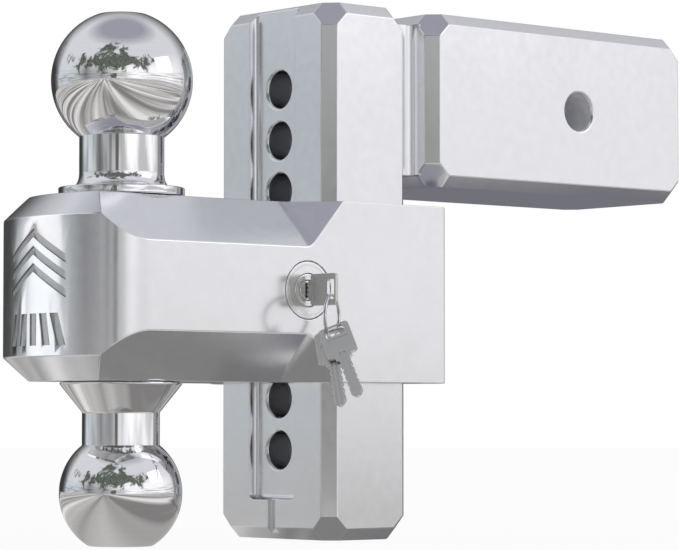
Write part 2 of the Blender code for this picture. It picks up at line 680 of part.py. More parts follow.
def make_lock_shell(steel, dark_steel, lock):
    """The round insert in the side of the mount, the lock cylinder in it and its set screw."""
    face = LOCK_FACE + FACE_STEP
    cylinder_rear = CARTRIDGE_REAR - CARTRIDGE_WALL - FIT_GAP
    rim = 0.4 * MM
    cartridge = rod("lock_cartridge", CARTRIDGE_DIA, CARTRIDGE_REAR, face, "Y", chamfer=rim, material=steel)
    bore = rod("bore", CYLINDER_DIA + 2 * FIT_GAP, face - CARTRIDGE_DIA, cylinder_rear + FIT_GAP, "Y")
    tail = rod("tail", TAIL_HOLE_DIA, face, 0, "Y")
    combine(cartridge, [bore, tail])
    place(smooth(cartridge), lock)

    inner_face = face + FACE_STEP
    cylinder = rod("lock_cylinder", CYLINDER_DIA, cylinder_rear, inner_face, "Y", chamfer=rim, material=steel)
    combine(cylinder, [rod("plug_bore", PLUG_DIA + 2 * FIT_GAP, face - CARTRIDGE_DIA, 0, "Y")])
    place(smooth(cylinder), lock)

    start = CARTRIDGE_DIA / 2 + FIT_GAP
    length = SLOT_FRONT - LOCK_TO_BALL - start - FIT_GAP
    screw = rod("cartridge_set_screw", SET_SCREW_DIA, 0, length, "X", material=dark_steel, sides=12)
    combine(screw, [rod("socket", SOCKET_DIA * 0.65, length / 2, length * 2, "X", sides=6)])
    place(smooth(screw), lock, (start, LOCK_FACE + SET_SCREW_DEPTH, 0))


def wafer_places():
    return [LOCK_FACE + FIRST_WAFER + k * WAFER_PITCH for k in range(WAFER_COUNT)]


def make_plug(steel, brass, lock):
    """The plug with its keyway, wafer slots and square tail, and the wafers."""
    face = LOCK_FACE + 3 * FACE_STEP
    plug = rod("lock_plug", PLUG_DIA, PLUG_REAR, face, "Y", chamfer=0.3 * MM, material=steel)
    half = TAIL_SIDE / 2
    tail = box("tail", (-half, PLUG_REAR - TAIL_SIDE, -half), (half, DRIVE_FACE[1], half))
    combine(plug, [tail], "UNION")
    width, height = KEYWAY
    keyway_end = LOCK_FACE - KEY_STAND_OFF + BLADE_LENGTH + 2 * FIT_GAP
    cutters = [box("keyway", (-width / 2, face - PLUG_DIA, -height / 2), (width / 2, keyway_end, height / 2))]
    slot_x = WAFER_SIZE[0] / 2 + FIT_GAP
    slot_y = WAFER_SIZE[1] / 2 + FIT_GAP
    for y in wafer_places():
        cutters.append(box("slot", (-slot_x, y - slot_y, -PLUG_DIA), (slot_x, y + slot_y, PLUG_DIA)))
    hole_end = DRIVE_FACE[1] - PINION_SCREW_LENGTH - 3 * FIT_GAP
    hole_dia = PINION_SCREW_DIA + 2 * FIT_GAP
    cutters.append(rod("hole", hole_dia, hole_end, DRIVE_FACE[1] + TRAVEL, "Y", sides=12))
    combine(plug, cutters)
    place(smooth(plug), lock)

    window_x = WAFER_SIZE[0] / 2 - WAFER_WALL
    window_z = WAFER_SIZE[2] / 2 - WAFER_WALL
    for k, y in enumerate(wafer_places()):
        low = [-size / 2 for size in WAFER_SIZE]
        high = [size / 2 for size in WAFER_SIZE]
        wafer = box(f"wafer_{k + 1}", low, high, brass)
        window = box("window", (-window_x, -PLUG_DIA, -window_z), (window_x, PLUG_DIA, window_z))
        place(combine(wafer, [window]), lock, (0, y, 0))


# Pin drive


def pinion_outline():
    """Involute teeth, with a gap at the top for a rack tooth."""
    base = PITCH_RADIUS * math.cos(PRESSURE_ANGLE)
    tip = PITCH_RADIUS + ADDENDUM
    root = PITCH_RADIUS - DEDENDUM
    half_tooth = (math.pi * MODULE / 2 - BACKLASH / 2) / (2 * PITCH_RADIUS)
    spread = half_tooth + math.tan(PRESSURE_ANGLE) - PRESSURE_ANGLE
    flank = [(root, spread)]
    for k in range(4):
        radius = base + (tip - base) * k / 3
        roll = math.sqrt(max((radius / base) ** 2 - 1, 0))
        flank.append((radius, spread - (roll - math.atan(roll))))
    points = []
    for tooth in range(PINION_TEETH):
        middle = math.pi / 2 + math.tau * (tooth + 0.5) / PINION_TEETH
        for radius, angle in flank:
            points.append((radius * math.cos(middle - angle), radius * math.sin(middle - angle)))
        for radius, angle in reversed(flank):
            points.append((radius * math.cos(middle + angle), radius * math.sin(middle + angle)))
    return points


def make_pinion(steel, dark_steel, lock):
    pinion = prism("drive_pinion", pinion_outline(), "Y", *DRIVE_FACE, steel)
    half = TAIL_SIDE / 2 + FIT_GAP
    combine(pinion, [box("square", (-half, -TRAVEL, -half), (half, TRAVEL * 2, half))])
    place(pinion, lock)

    head_dia, head_height = PINION_HEAD
    profile = screw_profile(PINION_SCREW_LENGTH, head_dia, head_height, PINION_SCREW_DIA)
    screw = turn("pinion_screw", profile, "Y", sides=12, material=dark_steel)
    slot = 0.4 * MM
    combine(screw, [box("slot", (-slot, -2 * slot, -head_dia), (slot, slot, head_dia))])
    place(smooth(screw), lock, (0, DRIVE_FACE[1] + FIT_GAP + head_height, 0))


def rack_reach():
    """The stretch of the rack arm on X from the ball axis, with the pins withdrawn."""
    pitch = math.pi * MODULE
    return LOCK_TO_BALL - 5 * pitch, LOCK_TO_BALL + 1.4 * pitch


def rack_outline():
    """The arm with its teeth pointing down, in X and Z of the mount's frame."""
    pitch = math.pi * MODULE
    slope = math.tan(PRESSURE_ANGLE)
    half = pitch / 4 - BACKLASH / 4
    tip_z = PITCH_RADIUS - ADDENDUM
    root_z = PITCH_RADIUS + DEDENDUM
    start, end = rack_reach()
    rear = CARRIAGE_REAR + 2 * JOIN_INSET
    points = [(rear, RACK_BACK), (rear, root_z), (start - pitch / 2, root_z)]
    for k in range(-5, 2):
        middle = LOCK_TO_BALL + k * pitch
        wide = half + slope * DEDENDUM
        narrow = half - slope * ADDENDUM
        points += [(middle - wide, root_z), (middle - narrow, tip_z)]
        points += [(middle + narrow, tip_z), (middle + wide, root_z)]
    return points + [(end, root_z), (end, RACK_BACK)]


def make_carriage(steel, dark_steel, slide):
    """The slide with its rack, both locking pins, and the screws that hold them."""
    inner, outer = END_INNER, END_OUTER
    half = CARRIAGE_HALF_WIDTH
    bar_low = (CARRIAGE_REAR + JOIN_INSET, CROSSBAR[0], JOIN_INSET - outer)
    bar_high = (CARRIAGE_FRONT - JOIN_INSET, CROSSBAR[1], outer - JOIN_INSET)
    carriage = box("rack_carriage", bar_low, bar_high, steel)
    parts = []
    for low, high in ((inner, outer), (-outer, -inner)):
        parts.append(box("end", (CARRIAGE_REAR, -half, low), (CARRIAGE_FRONT, half, high)))
    parts.append(prism("rack", rack_outline(), "Y", *DRIVE_FACE))
    arm_base = (PITCH_RADIUS + DEDENDUM + RACK_BACK) / 2
    arm_low = (CARRIAGE_REAR + JOIN_INSET, DRIVE_FACE[0] + JOIN_INSET, arm_base)
    arm_high = (CARRIAGE_FRONT - JOIN_INSET, DRIVE_FACE[1] - JOIN_INSET, inner + POCKET_GAP)
    parts.append(box("arm", arm_low, arm_high))
    combine(carriage, parts, "UNION")
    seat = CARRIAGE_REAR + HEAD_HEIGHT + 2 * FIT_GAP
    combine(carriage, [counterbore(BALL_TO_BAR, seat, 0, (0, 0, level * HOLE_PITCH)) for level in (-1, 1)])
    place(carriage, slide)

    start = CARRIAGE_FRONT + FIT_GAP
    end = BALL_TO_BAR + PIN_REACH
    for level, word in ((1, "upper"), (-1, "lower")):
        pin = rod(f"{word}_locking_pin", PIN_DIA, start, end, "X", chamfer=PIN_CHAMFER, material=dark_steel)
        hole_end = CARRIAGE_REAR + FIT_GAP + HEAD_HEIGHT + PIN_SCREW_LENGTH + 3 * FIT_GAP
        combine(pin, [rod("hole", SCREW_HOLE_DIA, 0, hole_end, "X", sides=12)])
        place(smooth(pin), slide, (0, 0, level * HOLE_PITCH))
        head_at = (CARRIAGE_REAR + FIT_GAP, 0, level * HOLE_PITCH)
        make_screw(f"pin_screw_{word}", head_at, -1, PIN_SCREW_LENGTH, dark_steel, slide)


# Keys and ring


def key_outline():
    """A key lying along Y with its tip at +Y. The end of its bow is at 0."""
    half_bow = BOW_HEIGHT / 2
    half_blade = BLADE_HEIGHT / 2
    neck_length, neck_height = KEY_NECK
    corner = half_bow - BOW_ROUND
    shoulder = BOW_LENGTH + neck_length
    tip = shoulder + BLADE_LENGTH
    side = arc((BOW_ROUND, corner), BOW_ROUND, 180, 90, 3)
    side += arc((BOW_LENGTH - BOW_ROUND, corner), BOW_ROUND, 90, 0, 3)
    side += [(BOW_LENGTH, neck_height / 2), (shoulder, neck_height / 2), (shoulder, half_blade)]
    step = (BLADE_LENGTH - 2 * half_blade) / NOTCH_COUNT
    for k in range(NOTCH_COUNT):
        start = shoulder + step * (k + 0.3)
        depth = BLADE_NOTCH * (1 if k % 2 else 0.6)
        side += [(start, half_blade), (start + step * 0.25, half_blade - depth)]
        side += [(start + step * 0.5, half_blade - depth), (start + step * 0.75, half_blade)]
    side += [(tip - half_blade, half_blade), (tip, half_blade * 0.3)]
    return side + [(y, -z) for y, z in reversed(side)]


def make_key(name, material):
    """A flat key whose origin is where the ring's wire crosses its slot."""
    half = KEY_THICK / 2
    key = prism(name, key_outline(), "X", -half, half, material)
    length, height = BOW_SLOT
    slot = box("slot", (-BAR_WIDTH, SLOT_INSET, -height / 2), (BAR_WIDTH, SLOT_INSET + length, height / 2))
    return combine(key, [slot])


def make_keys(nickel, lock):
    """The key in the lock, the ring in its slot, and two spare keys on the ring."""
    bow_end = LOCK_FACE - KEY_STAND_OFF - KEY_NECK[0] - BOW_LENGTH
    key_slide = make_empty("key_slide", lock)
    place(make_key("key_in_lock", nickel), key_slide, (0, bow_end, 0))

    wire_y = bow_end + SLOT_INSET + BOW_SLOT[0] / 2
    wire_z = -BOW_SLOT[1] / 2 + WIRE_RADIUS + RING_PLAY
    ring_pivot = make_empty("ring_pivot", key_slide, (0, wire_y, wire_z), (0, 0, RING_TURN))
    circle = arc((RING_RADIUS, 0), WIRE_RADIUS, 0, 300, 5)
    ring = turn("key_ring", circle, "Y", material=nickel, sides=2 * ROUND_SIDES, ring=True)
    place(smooth(ring), ring_pivot, (0, 0, -RING_RADIUS))

    spare_frame = make_empty("spare_frame", ring_pivot, (0, 0, -RING_RADIUS), (0, SPARE_LEAN, 0))
    half_spacing = SPARE_SPACING / 2
    wire_drop = math.sqrt(RING_RADIUS**2 - half_spacing**2)
    hang = SLOT_INSET + WIRE_RADIUS + SPARE_PLAY
    for (name, (tilt, shift)), way in zip(SPARES.items(), (-1, 1)):
        pivot = make_empty(f"{name}_pivot", spare_frame, (way * half_spacing, 0, -wire_drop), (-tilt, 0, 0))
        spare = make_key(name, nickel)
        upright = Matrix.Rotation(-math.pi / 2, 4, "X")
        spare.data.transform(Matrix.Translation((0, -shift, hang)) @ upright)
        place(spare, pivot)


def build():
    for item in list(bpy.data.objects):
        bpy.data.objects.remove(item)
    aluminium = make_material("aluminium", (0.72, 0.73, 0.76), 0.32, 1.0)
    chrome = make_material("chrome", (0.80, 0.81, 0.83), 0.05, 1.0)
    steel = make_material("bright_steel", (0.62, 0.62, 0.65), 0.25, 1.0)
    dark_steel = make_material("dark_steel", (0.28, 0.28, 0.30), 0.40, 1.0)
    nickel = make_material("nickel_plate", (0.60, 0.60, 0.58), 0.28, 1.0)
    brass = make_material("brass", (0.70, 0.52, 0.24), 0.35, 1.0)

    make_drawbar(aluminium)
    mount_frame = make_empty("mount_frame", location=MOUNT_ORIGIN)
    make_ball_mount(aluminium, mount_frame)
    make_large_ball(chrome, mount_frame)
    make_small_ball(chrome, mount_frame)
    make_washer(dark_steel, mount_frame)
    make_pin_guide(steel, dark_steel, mount_frame)
    lock_axis = make_empty("lock_axis", mount_frame, (LOCK_TO_BALL, 0, 0))
    make_lock_shell(steel, dark_steel, lock_axis)
    make_plug(steel, brass, lock_axis)
    make_pinion(steel, dark_steel, lock_axis)
    carriage_slide = make_empty("carriage_slide", mount_frame)
    make_carriage(steel, dark_steel, carriage_slide)
    make_keys(nickel, lock_axis)


build()
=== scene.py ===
"""Finish and stage for an adjustable drop hitch: machined aluminium with softened edges, mirror chrome
balls, a turned steel lock, stamped keys on a split ring, and a plain pale studio.

The file is laid out as a Blender add-on. Each operator makes one piece, or one group of like pieces,
in the row frame in metres, and lets it ride on its body."""

import json
import math

import bmesh
import bpy
from mathutils import Matrix, Vector

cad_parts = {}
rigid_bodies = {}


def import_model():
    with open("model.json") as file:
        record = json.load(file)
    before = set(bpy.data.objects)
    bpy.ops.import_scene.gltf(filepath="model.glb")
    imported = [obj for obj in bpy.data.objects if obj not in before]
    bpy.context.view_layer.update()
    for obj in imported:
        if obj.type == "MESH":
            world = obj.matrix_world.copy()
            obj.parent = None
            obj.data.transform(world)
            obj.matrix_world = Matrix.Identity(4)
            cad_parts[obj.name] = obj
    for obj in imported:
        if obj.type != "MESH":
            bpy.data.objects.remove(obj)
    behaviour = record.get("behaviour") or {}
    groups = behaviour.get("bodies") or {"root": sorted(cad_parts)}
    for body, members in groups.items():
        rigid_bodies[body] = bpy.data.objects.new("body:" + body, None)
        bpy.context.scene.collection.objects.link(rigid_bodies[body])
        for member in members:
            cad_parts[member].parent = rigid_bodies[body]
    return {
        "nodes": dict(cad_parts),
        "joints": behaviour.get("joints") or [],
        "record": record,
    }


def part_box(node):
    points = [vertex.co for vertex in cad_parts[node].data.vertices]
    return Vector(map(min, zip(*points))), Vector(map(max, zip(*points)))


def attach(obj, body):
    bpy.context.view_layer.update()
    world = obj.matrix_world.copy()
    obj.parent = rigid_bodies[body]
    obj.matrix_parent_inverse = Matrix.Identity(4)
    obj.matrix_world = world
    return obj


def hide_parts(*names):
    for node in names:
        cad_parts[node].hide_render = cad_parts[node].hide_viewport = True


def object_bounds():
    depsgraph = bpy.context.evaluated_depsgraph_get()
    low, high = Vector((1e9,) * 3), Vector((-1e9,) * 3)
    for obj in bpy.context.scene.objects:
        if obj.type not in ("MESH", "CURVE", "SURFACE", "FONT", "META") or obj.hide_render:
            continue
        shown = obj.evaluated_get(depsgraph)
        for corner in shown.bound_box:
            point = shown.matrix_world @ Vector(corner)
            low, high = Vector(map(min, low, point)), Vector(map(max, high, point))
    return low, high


bl_info = {
    "name": "Drop Hitch Finish",
    "version": (1, 0, 0),
    "blender": (4, 5, 0),
    "location": "3D View > Sidebar > Hitch",
    "description": "Refined pieces, metal finishes and a studio stage for an adjustable drop hitch",
    "category": "Object",
}

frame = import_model()
CAD_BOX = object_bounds()
JOINTS = {joint["name"]: joint for joint in frame["joints"]}
MOUNTS = {mount["name"]: mount for mount in frame["record"]["mounts"]}

MM = 0.001
FAR = 0.5
SMOOTH_ANGLE = math.radians(38)
LOCK_AT = Vector(JOINTS["lock_turn"]["pos_m"])  # on the lock's axis, which lies along Y

# Holes in the drawbar, with a little room round each for telling which faces lie in it
PIN_HOLE_RADIUS = 8.5 * MM
HOLE_RADIUS = 8.1 * MM
CHANNEL_DEPTH = 4.0 * MM
HOLE_COUNT = 8
HOLE_PITCH = 22.225 * MM
LOWEST_HOLE = 38.1 * MM

# Ball mount, from the ball axis at its mid height
BALL_AXIS = Vector((MOUNTS["large_ball_top"]["pos_m"][0], 0, LOCK_AT.z))
HALF_WIDTH = 44.45 * MM
HALF_HEIGHT = 38.1 * MM
NOSE_FRONT = 44.3 * MM
NOSE_RADIUS = 70.0 * MM
NOSE_CORNER = 20.6 * MM

# Balls
LARGE_RADIUS = 29.37 * MM
LARGE_RISE = 48.45 * MM
LARGE_NECK = 17.6 * MM
LARGE_FLAT = 27.8 * MM
FLANGE = (26.15 * MM, 3.6 * MM)
FLANGE_ROOT = (21.1 * MM, 6.0 * MM)
SMALL_RADIUS = 25.4 * MM
SMALL_DROP = 45.9 * MM
SMALL_NECK = 16.05 * MM
SMALL_FLAT = 21.8 * MM
CONE = (25.3 * MM, 12.4 * MM)
STUD_RADIUS = 12.7 * MM
STUD_IN_SMALL_BALL = 22.0 * MM
SEAT_GAP = 0.3 * MM
BALL_STEPS = 144

# Pattern on the nose, in Y and Z from its middle
PATTERN_HALF = 19.0 * MM
CHEVRON_RISE = 11.0 * MM
CHEVRON_STROKE = 3.6 * MM
CHEVRON_LEVELS = (12.5 * MM, 5.5 * MM, -1.5 * MM)
STRIPE_COUNT = 5
STRIPE_WIDTH = 4.6 * MM
STRIPE_LEAN = 4.0 * MM
STRIPE_SPAN = (-24.0 * MM, -11.0 * MM)

# Lock
CARTRIDGE_RADIUS = 12.0 * MM
CYLINDER_RADIUS = 6.9 * MM
PLUG_BORE = 4.45 * MM
TAIL_RADIUS = 3.5 * MM
REAR_WALL = 2.5 * MM
RIM_GROOVE = (0.15 * MM, 0.4 * MM, 0.55 * MM, 0.12 * MM)  # where its floor starts and ends, its edge, depth
LOCK_STEPS = 96

# Keys, lying along Y with the end of the bow at 0 and the tip at +Y
KEY_THICK = 1.5 * MM
BOW = (16.3 * MM, 13.2 * MM)
BOW_ROUND = 1.8 * MM
BOW_SLOT = (4.4 * MM, 8.2 * MM)
SLOT_INSET = 1.1 * MM
KEY_NECK = (1.6 * MM, 7.2 * MM)
BLADE = (20.8 * MM, 5.0 * MM)
NOTCH_COUNT = 5
NOTCH_DEPTH = 0.7 * MM
GROOVE = (0.8 * MM, 0.35 * MM)
RING_TURN = math.radians(31.0)
SPARE_LEAN = math.radians(33.0)
SPARE_HANG = 2.2 * MM
SPARES = {  # joint, tilt about the wire, and the shift of the slot's middle from the wire
    "spare_key_front": ("spare_front_swing", math.radians(27.0), 2.9 * MM),
    "spare_key_back": ("spare_back_swing", math.radians(18.0), 0.5 * MM),
}
RING_RADIUS = 9.0 * MM
COIL_SPACING = 0.70 * MM
WIRE_SECTION = (0.62 * MM, 0.33 * MM)  # half of the wire, outwards and along the ring's axis


# Sizes and colours that a user may change


class HitchFinish(bpy.types.PropertyGroup):
    edge_width: bpy.props.FloatProperty(
        name="Edge width",
        description="Width of the softened machined edges",
        default=0.4 * MM,
        unit="LENGTH",
    )
    key_edge: bpy.props.FloatProperty(
        name="Key edge",
        description="Width of the softened edges of the keys",
        default=0.18 * MM,
        unit="LENGTH",
    )
    engraving_depth: bpy.props.FloatProperty(
        name="Engraving depth",
        description="Depth of the pattern on the nose",
        default=0.6 * MM,
        unit="LENGTH",
    )
    aluminium: bpy.props.FloatVectorProperty(
        name="Aluminium",
        description="Colour of the satin aluminium",
        default=(0.76, 0.765, 0.79),
        subtype="COLOR",
    )
    aluminium_roughness: bpy.props.FloatProperty(
        name="Aluminium roughness",
        description="Roughness of the satin faces",
        default=0.17,
        subtype="FACTOR",
    )
    chrome: bpy.props.FloatVectorProperty(
        name="Chrome",
        description="Colour of the plated balls",
        default=(0.80, 0.80, 0.82),
        subtype="COLOR",
    )
    steel: bpy.props.FloatVectorProperty(
        name="Steel",
        description="Colour of turned and ground steel",
        default=(0.80, 0.80, 0.82),
        subtype="COLOR",
    )
    nickel: bpy.props.FloatVectorProperty(
        name="Nickel",
        description="Colour of the plated keys and ring",
        default=(0.30, 0.30, 0.305),
        subtype="COLOR",
    )


class HitchStage(bpy.types.PropertyGroup):
    floor: bpy.props.FloatVectorProperty(
        name="Floor", description="Colour of the floor", default=(0.86, 0.86, 0.87), subtype="COLOR"
    )
    floor_drop: bpy.props.FloatProperty(
        name="Floor drop",
        description="Gap between the hitch and the floor",
        default=0.4 * MM,
        unit="LENGTH",
    )
    light: bpy.props.FloatProperty(
        name="Light", description="Strength of the light all round", default=1.0, min=0.0
    )
    lens: bpy.props.FloatProperty(
        name="Lens", description="Focal length in millimetres", default=166.2, min=1.0
    )


# Nodes


def add(tree, kind, inputs=None, **settings):
    """Add a node. Each input is a socket to link from, or a value to set."""
    made = tree.nodes.new(kind)
    for name, value in settings.items():
        setattr(made, name, value)
    for name, value in (inputs or {}).items():
        if isinstance(value, bpy.types.NodeSocket):
            tree.links.new(value, made.inputs[name])
        else:
            made.inputs[name].default_value = value
    return made


def math_node(tree, operation, first, second=0.0):
    return add(tree, "ShaderNodeMath", {0: first, 1: second}, operation=operation).outputs[0]


def vector_node(tree, operation, first, second=(0, 0, 0)):
    return add(tree, "ShaderNodeVectorMath", {0: first, 1: second}, operation=operation).outputs


def spread(tree, value, low, high, new_low=0.0, new_high=1.0):
    """Map a value from one range to another, held at both ends."""
    inputs = {"Value": value, "From Min": low, "From Max": high, "To Min": new_low, "To Max": new_high}
    return add(tree, "ShaderNodeMapRange", inputs).outputs[0]


def blend_colours(tree, amount, first, second):
    made = add(tree, "ShaderNodeMix", data_type="RGBA")
    for name, value in (("Factor_Float", amount), ("A_Color", first), ("B_Color", second)):
        socket = next(s for s in made.inputs if s.identifier == name)
        if isinstance(value, bpy.types.NodeSocket):
            tree.links.new(value, socket)
        elif name == "Factor_Float":
            socket.default_value = value
        else:
            socket.default_value = (*value[:3], 1)
    return next(s for s in made.outputs if s.identifier == "Result_Color")


def start_group(name, inputs, outputs):
    """A new shader node group with its inputs and outputs."""
    tree = bpy.data.node_groups.new(name, "ShaderNodeTree")
    for label, kind, value in inputs:
        socket = tree.interface.new_socket(label, in_out="INPUT", socket_type=kind)
        if value is not None:
            socket.default_value = value
    for label, kind in outputs:
        tree.interface.new_socket(label, in_out="OUTPUT", socket_type=kind)
    entry = tree.nodes.new("NodeGroupInput")
    leave = tree.nodes.new("NodeGroupOutput")
    return tree, entry.outputs, leave


def grain_group():
    """Blasted or ground grain. Stretch draws it out into lines."""
    tree, given, leave = start_group(
        "Metal Grain",
        [
            ("Position", "NodeSocketVector", None),
            ("Stretch", "NodeSocketVector", (1, 1, 1)),
            ("Grains", "NodeSocketFloat", 2500.0),
        ],
        [("Height", "NodeSocketFloat"), ("Tone", "NodeSocketFloat")],
    )
    place = vector_node(tree, "MULTIPLY", given["Position"], given["Stretch"])[0]
    coarse_scale = math_node(tree, "MULTIPLY", given["Grains"], 0.11)
    fine = {"Vector": place, "Scale": given["Grains"], "Detail": 3.0, "Roughness": 0.6}
    coarse = {"Vector": place, "Scale": coarse_scale, "Detail": 2.0}
    fine_noise = add(tree, "ShaderNodeTexNoise", fine).outputs["Fac"]
    coarse_noise = add(tree, "ShaderNodeTexNoise", coarse).outputs["Fac"]
    height = math_node(tree, "ADD", fine_noise, math_node(tree, "MULTIPLY", coarse_noise, 0.35))
    tree.links.new(height, leave.inputs["Height"])
    tree.links.new(spread(tree, coarse_noise, 0.3, 0.7), leave.inputs["Tone"])
    return tree


def marks_group():
    """Faint smudges from handling, and hairline scratches in two directions."""
    tree, given, leave = start_group(
        "Handling Marks",
        [
            ("Position", "NodeSocketVector", None),
            ("Smudge Scale", "NodeSocketFloat", 35.0),
            ("Scratch Scale", "NodeSocketFloat", 160.0),
        ],
        [("Smudge", "NodeSocketFloat"), ("Scratch", "NodeSocketFloat")],
    )
    cloud = {"Vector": given["Position"], "Scale": given["Smudge Scale"], "Detail": 5.0, "Distortion": 0.8}
    smudge = spread(tree, add(tree, "ShaderNodeTexNoise", cloud).outputs["Fac"], 0.42, 0.68)
    lines = []
    for turn, stretch in ((0.5, (1, 14, 9)), (-0.9, (12, 1, 8))):
        swung = {"Vector": given["Position"], "Angle": turn}
        turned = add(tree, "ShaderNodeVectorRotate", swung, rotation_type="X_AXIS").outputs[0]
        drawn = vector_node(tree, "MULTIPLY", turned, stretch)[0]
        noise = {"Vector": drawn, "Scale": given["Scratch Scale"], "Detail": 1.0}
        lines.append(spread(tree, add(tree, "ShaderNodeTexNoise", noise).outputs["Fac"], 0.70, 0.76))
    tree.links.new(smudge, leave.inputs["Smudge"])
    tree.links.new(math_node(tree, "MAXIMUM", *lines), leave.inputs["Scratch"])
    return tree


def turning_group():
    """Fine rings left by a lathe, round an axis through the centre. Across keeps the two other directions."""
    tree, given, leave = start_group(
        "Turning Marks",
        [
            ("Position", "NodeSocketVector", None),
            ("Centre", "NodeSocketVector", (0, 0, 0)),
            ("Across", "NodeSocketVector", (1, 0, 1)),
            ("Pitch", "NodeSocketFloat", 0.3 * MM),
        ],
        [("Height", "NodeSocketFloat"), ("Tone", "NodeSocketFloat")],
    )
    offset = vector_node(tree, "SUBTRACT", given["Position"], given["Centre"])[0]
    flat = vector_node(tree, "MULTIPLY", offset, given["Across"])[0]
    radius = vector_node(tree, "LENGTH", flat)["Value"]
    rings = math_node(tree, "DIVIDE", radius, given["Pitch"])
    noise = add(tree, "ShaderNodeTexNoise", {"W": rings, "Scale": 1.0, "Detail": 4.0}, noise_dimensions="1D")
    wave = math_node(tree, "SINE", math_node(tree, "MULTIPLY", rings, math.tau))
    height = math_node(tree, "ADD", noise.outputs["Fac"], math_node(tree, "MULTIPLY", wave, 0.15))
    tree.links.new(height, leave.inputs["Height"])
    tree.links.new(spread(tree, noise.outputs["Fac"], 0.3, 0.7), leave.inputs["Tone"])
    return tree


def group(name):
    makers = {"Metal Grain": grain_group, "Handling Marks": marks_group, "Turning Marks": turning_group}
    return bpy.data.node_groups.get(name) or makers[name]()


def use_group(tree, name, inputs):
    made = tree.nodes.new("ShaderNodeGroup")
    made.node_tree = group(name)
    for label, value in inputs.items():
        if isinstance(value, bpy.types.NodeSocket):
            tree.links.new(value, made.inputs[label])
        else:
            made.inputs[label].default_value = value
    return made.outputs


# Finishes


def metal(name, colour, roughness, grain, marks, bump, turning=None, metallic=1.0):
    """A metal with grain, handling marks and, where it is turned, lathe rings.

    Grain is (grains for each metre, stretch). Marks is (darkening, added roughness, scratch depth). Bump is
    the depth of the grain in metres. Turning is (centre, across, pitch)."""
    found = bpy.data.materials.get(name)
    if found:
        return found
    material = bpy.data.materials.new(name)
    material.diffuse_color = (*colour, 1)
    material.use_nodes = True
    tree = material.node_tree
    shader = tree.nodes["Principled BSDF"]
    shader.inputs["Metallic"].default_value = metallic
    place = add(tree, "ShaderNodeTexCoord").outputs["Object"]
    grain_out = use_group(tree, "Metal Grain", {"Position": place, "Grains": grain[0], "Stretch": grain[1]})
    marks_out = use_group(tree, "Handling Marks", {"Position": place})
    height = grain_out["Height"]
    tone = grain_out["Tone"]
    if turning:
        given = {"Position": place, "Centre": turning[0], "Across": turning[1], "Pitch": turning[2]}
        turned = use_group(tree, "Turning Marks", given)
        height = math_node(tree, "ADD", math_node(tree, "MULTIPLY", height, 0.4), turned["Height"])
        tone = turned["Tone"]
    darkening, smear, scratch_depth = marks
    shade = [c * (1 - darkening) for c in colour]
    light = [min(c * (1 + darkening / 2), 1) for c in colour]
    toned = blend_colours(tree, tone, shade, light)
    worn = blend_colours(tree, math_node(tree, "MULTIPLY", marks_out["Scratch"], 0.35), toned, light)
    tree.links.new(worn, shader.inputs["Base Color"])
    rough = math_node(tree, "ADD", math_node(tree, "MULTIPLY", marks_out["Smudge"], smear), roughness)
    rough = math_node(tree, "ADD", rough, math_node(tree, "MULTIPLY", tone, smear * 0.5))
    tree.links.new(rough, shader.inputs["Roughness"])
    cut = math_node(tree, "MULTIPLY", marks_out["Scratch"], -scratch_depth)
    relief = math_node(tree, "ADD", height, cut)
    bumped = add(tree, "ShaderNodeBump", {"Height": relief, "Distance": bump, "Strength": 1.0})
    tree.links.new(bumped.outputs[0], shader.inputs["Normal"])
    return material


def aluminium():
    look = bpy.context.scene.hitch_finish
    grain = (2200, (1, 1, 1))
    marks = (0.02, 0.03, 0.0)
    return metal("satin_aluminium", look.aluminium, look.aluminium_roughness, grain, marks, 1.2e-6)


def cut_and_highlight_aluminium():
    # The rounded edges get a slightly lighter colour, a painted highlight along them; their grain, drawn out
    # along the cut, is their own.
    colour = [min(c * 1.06, 1) for c in bpy.context.scene.hitch_finish.aluminium]
    return metal("cut_and_highlight_aluminium_edge", colour, 0.22, (1500, (1, 1, 6)), (0.03, 0.04, 0.0), 1.0e-6)


def drilled_aluminium_painted_light():
    # The bores get a lighter colour and a less metallic, more diffuse surface: painted light that stands in for
    # light spread inside the holes. Their rougher drilled finish is their own.
    colour = [min(c * 1.15, 1) for c in bpy.context.scene.hitch_finish.aluminium]
    marks = (0.06, 0.06, 0.0)
    return metal("drilled_aluminium_painted_light", colour, 0.48, (2600, (1, 1, 1)), marks, 3.0e-6, metallic=0.35)


def engraved_aluminium():
    colour = [c * 0.55 for c in bpy.context.scene.hitch_finish.aluminium]
    return metal("engraved_aluminium", colour, 0.36, (3000, (1, 1, 1)), (0.10, 0.08, 0.2), 2.5e-6)


def chrome():
    look = bpy.context.scene.hitch_finish
    turning = (BALL_AXIS, (1, 1, 0), 0.5 * MM)
    return metal("mirror_chrome", look.chrome, 0.02, (300, (1, 1, 1)), (0.02, 0.01, 0.0), 1.0e-8, turning)


def lock_steel():
    look = bpy.context.scene.hitch_finish
    turning = (LOCK_AT, (1, 0, 1), 0.22 * MM)
    return metal("turned_lock_steel", look.steel, 0.22, (3000, (1, 1, 1)), (0.06, 0.06, 0.1), 1.0e-6, turning)


def ground_steel():
    look = bpy.context.scene.hitch_finish
    return metal("ground_steel", look.steel, 0.24, (1800, (1, 9, 1)), (0.10, 0.08, 0.4), 2.0e-6)


def black_oxide():
    colour = (0.085, 0.085, 0.095)
    return metal("black_oxide_steel", colour, 0.38, (2600, (1, 1, 1)), (0.25, 0.12, 0.5), 2.0e-6)


def nickel():
    look = bpy.context.scene.hitch_finish
    return metal("nickel_plate", look.nickel, 0.20, (1600, (1, 1, 5)), (0.12, 0.12, 0.8), 2.5e-6)


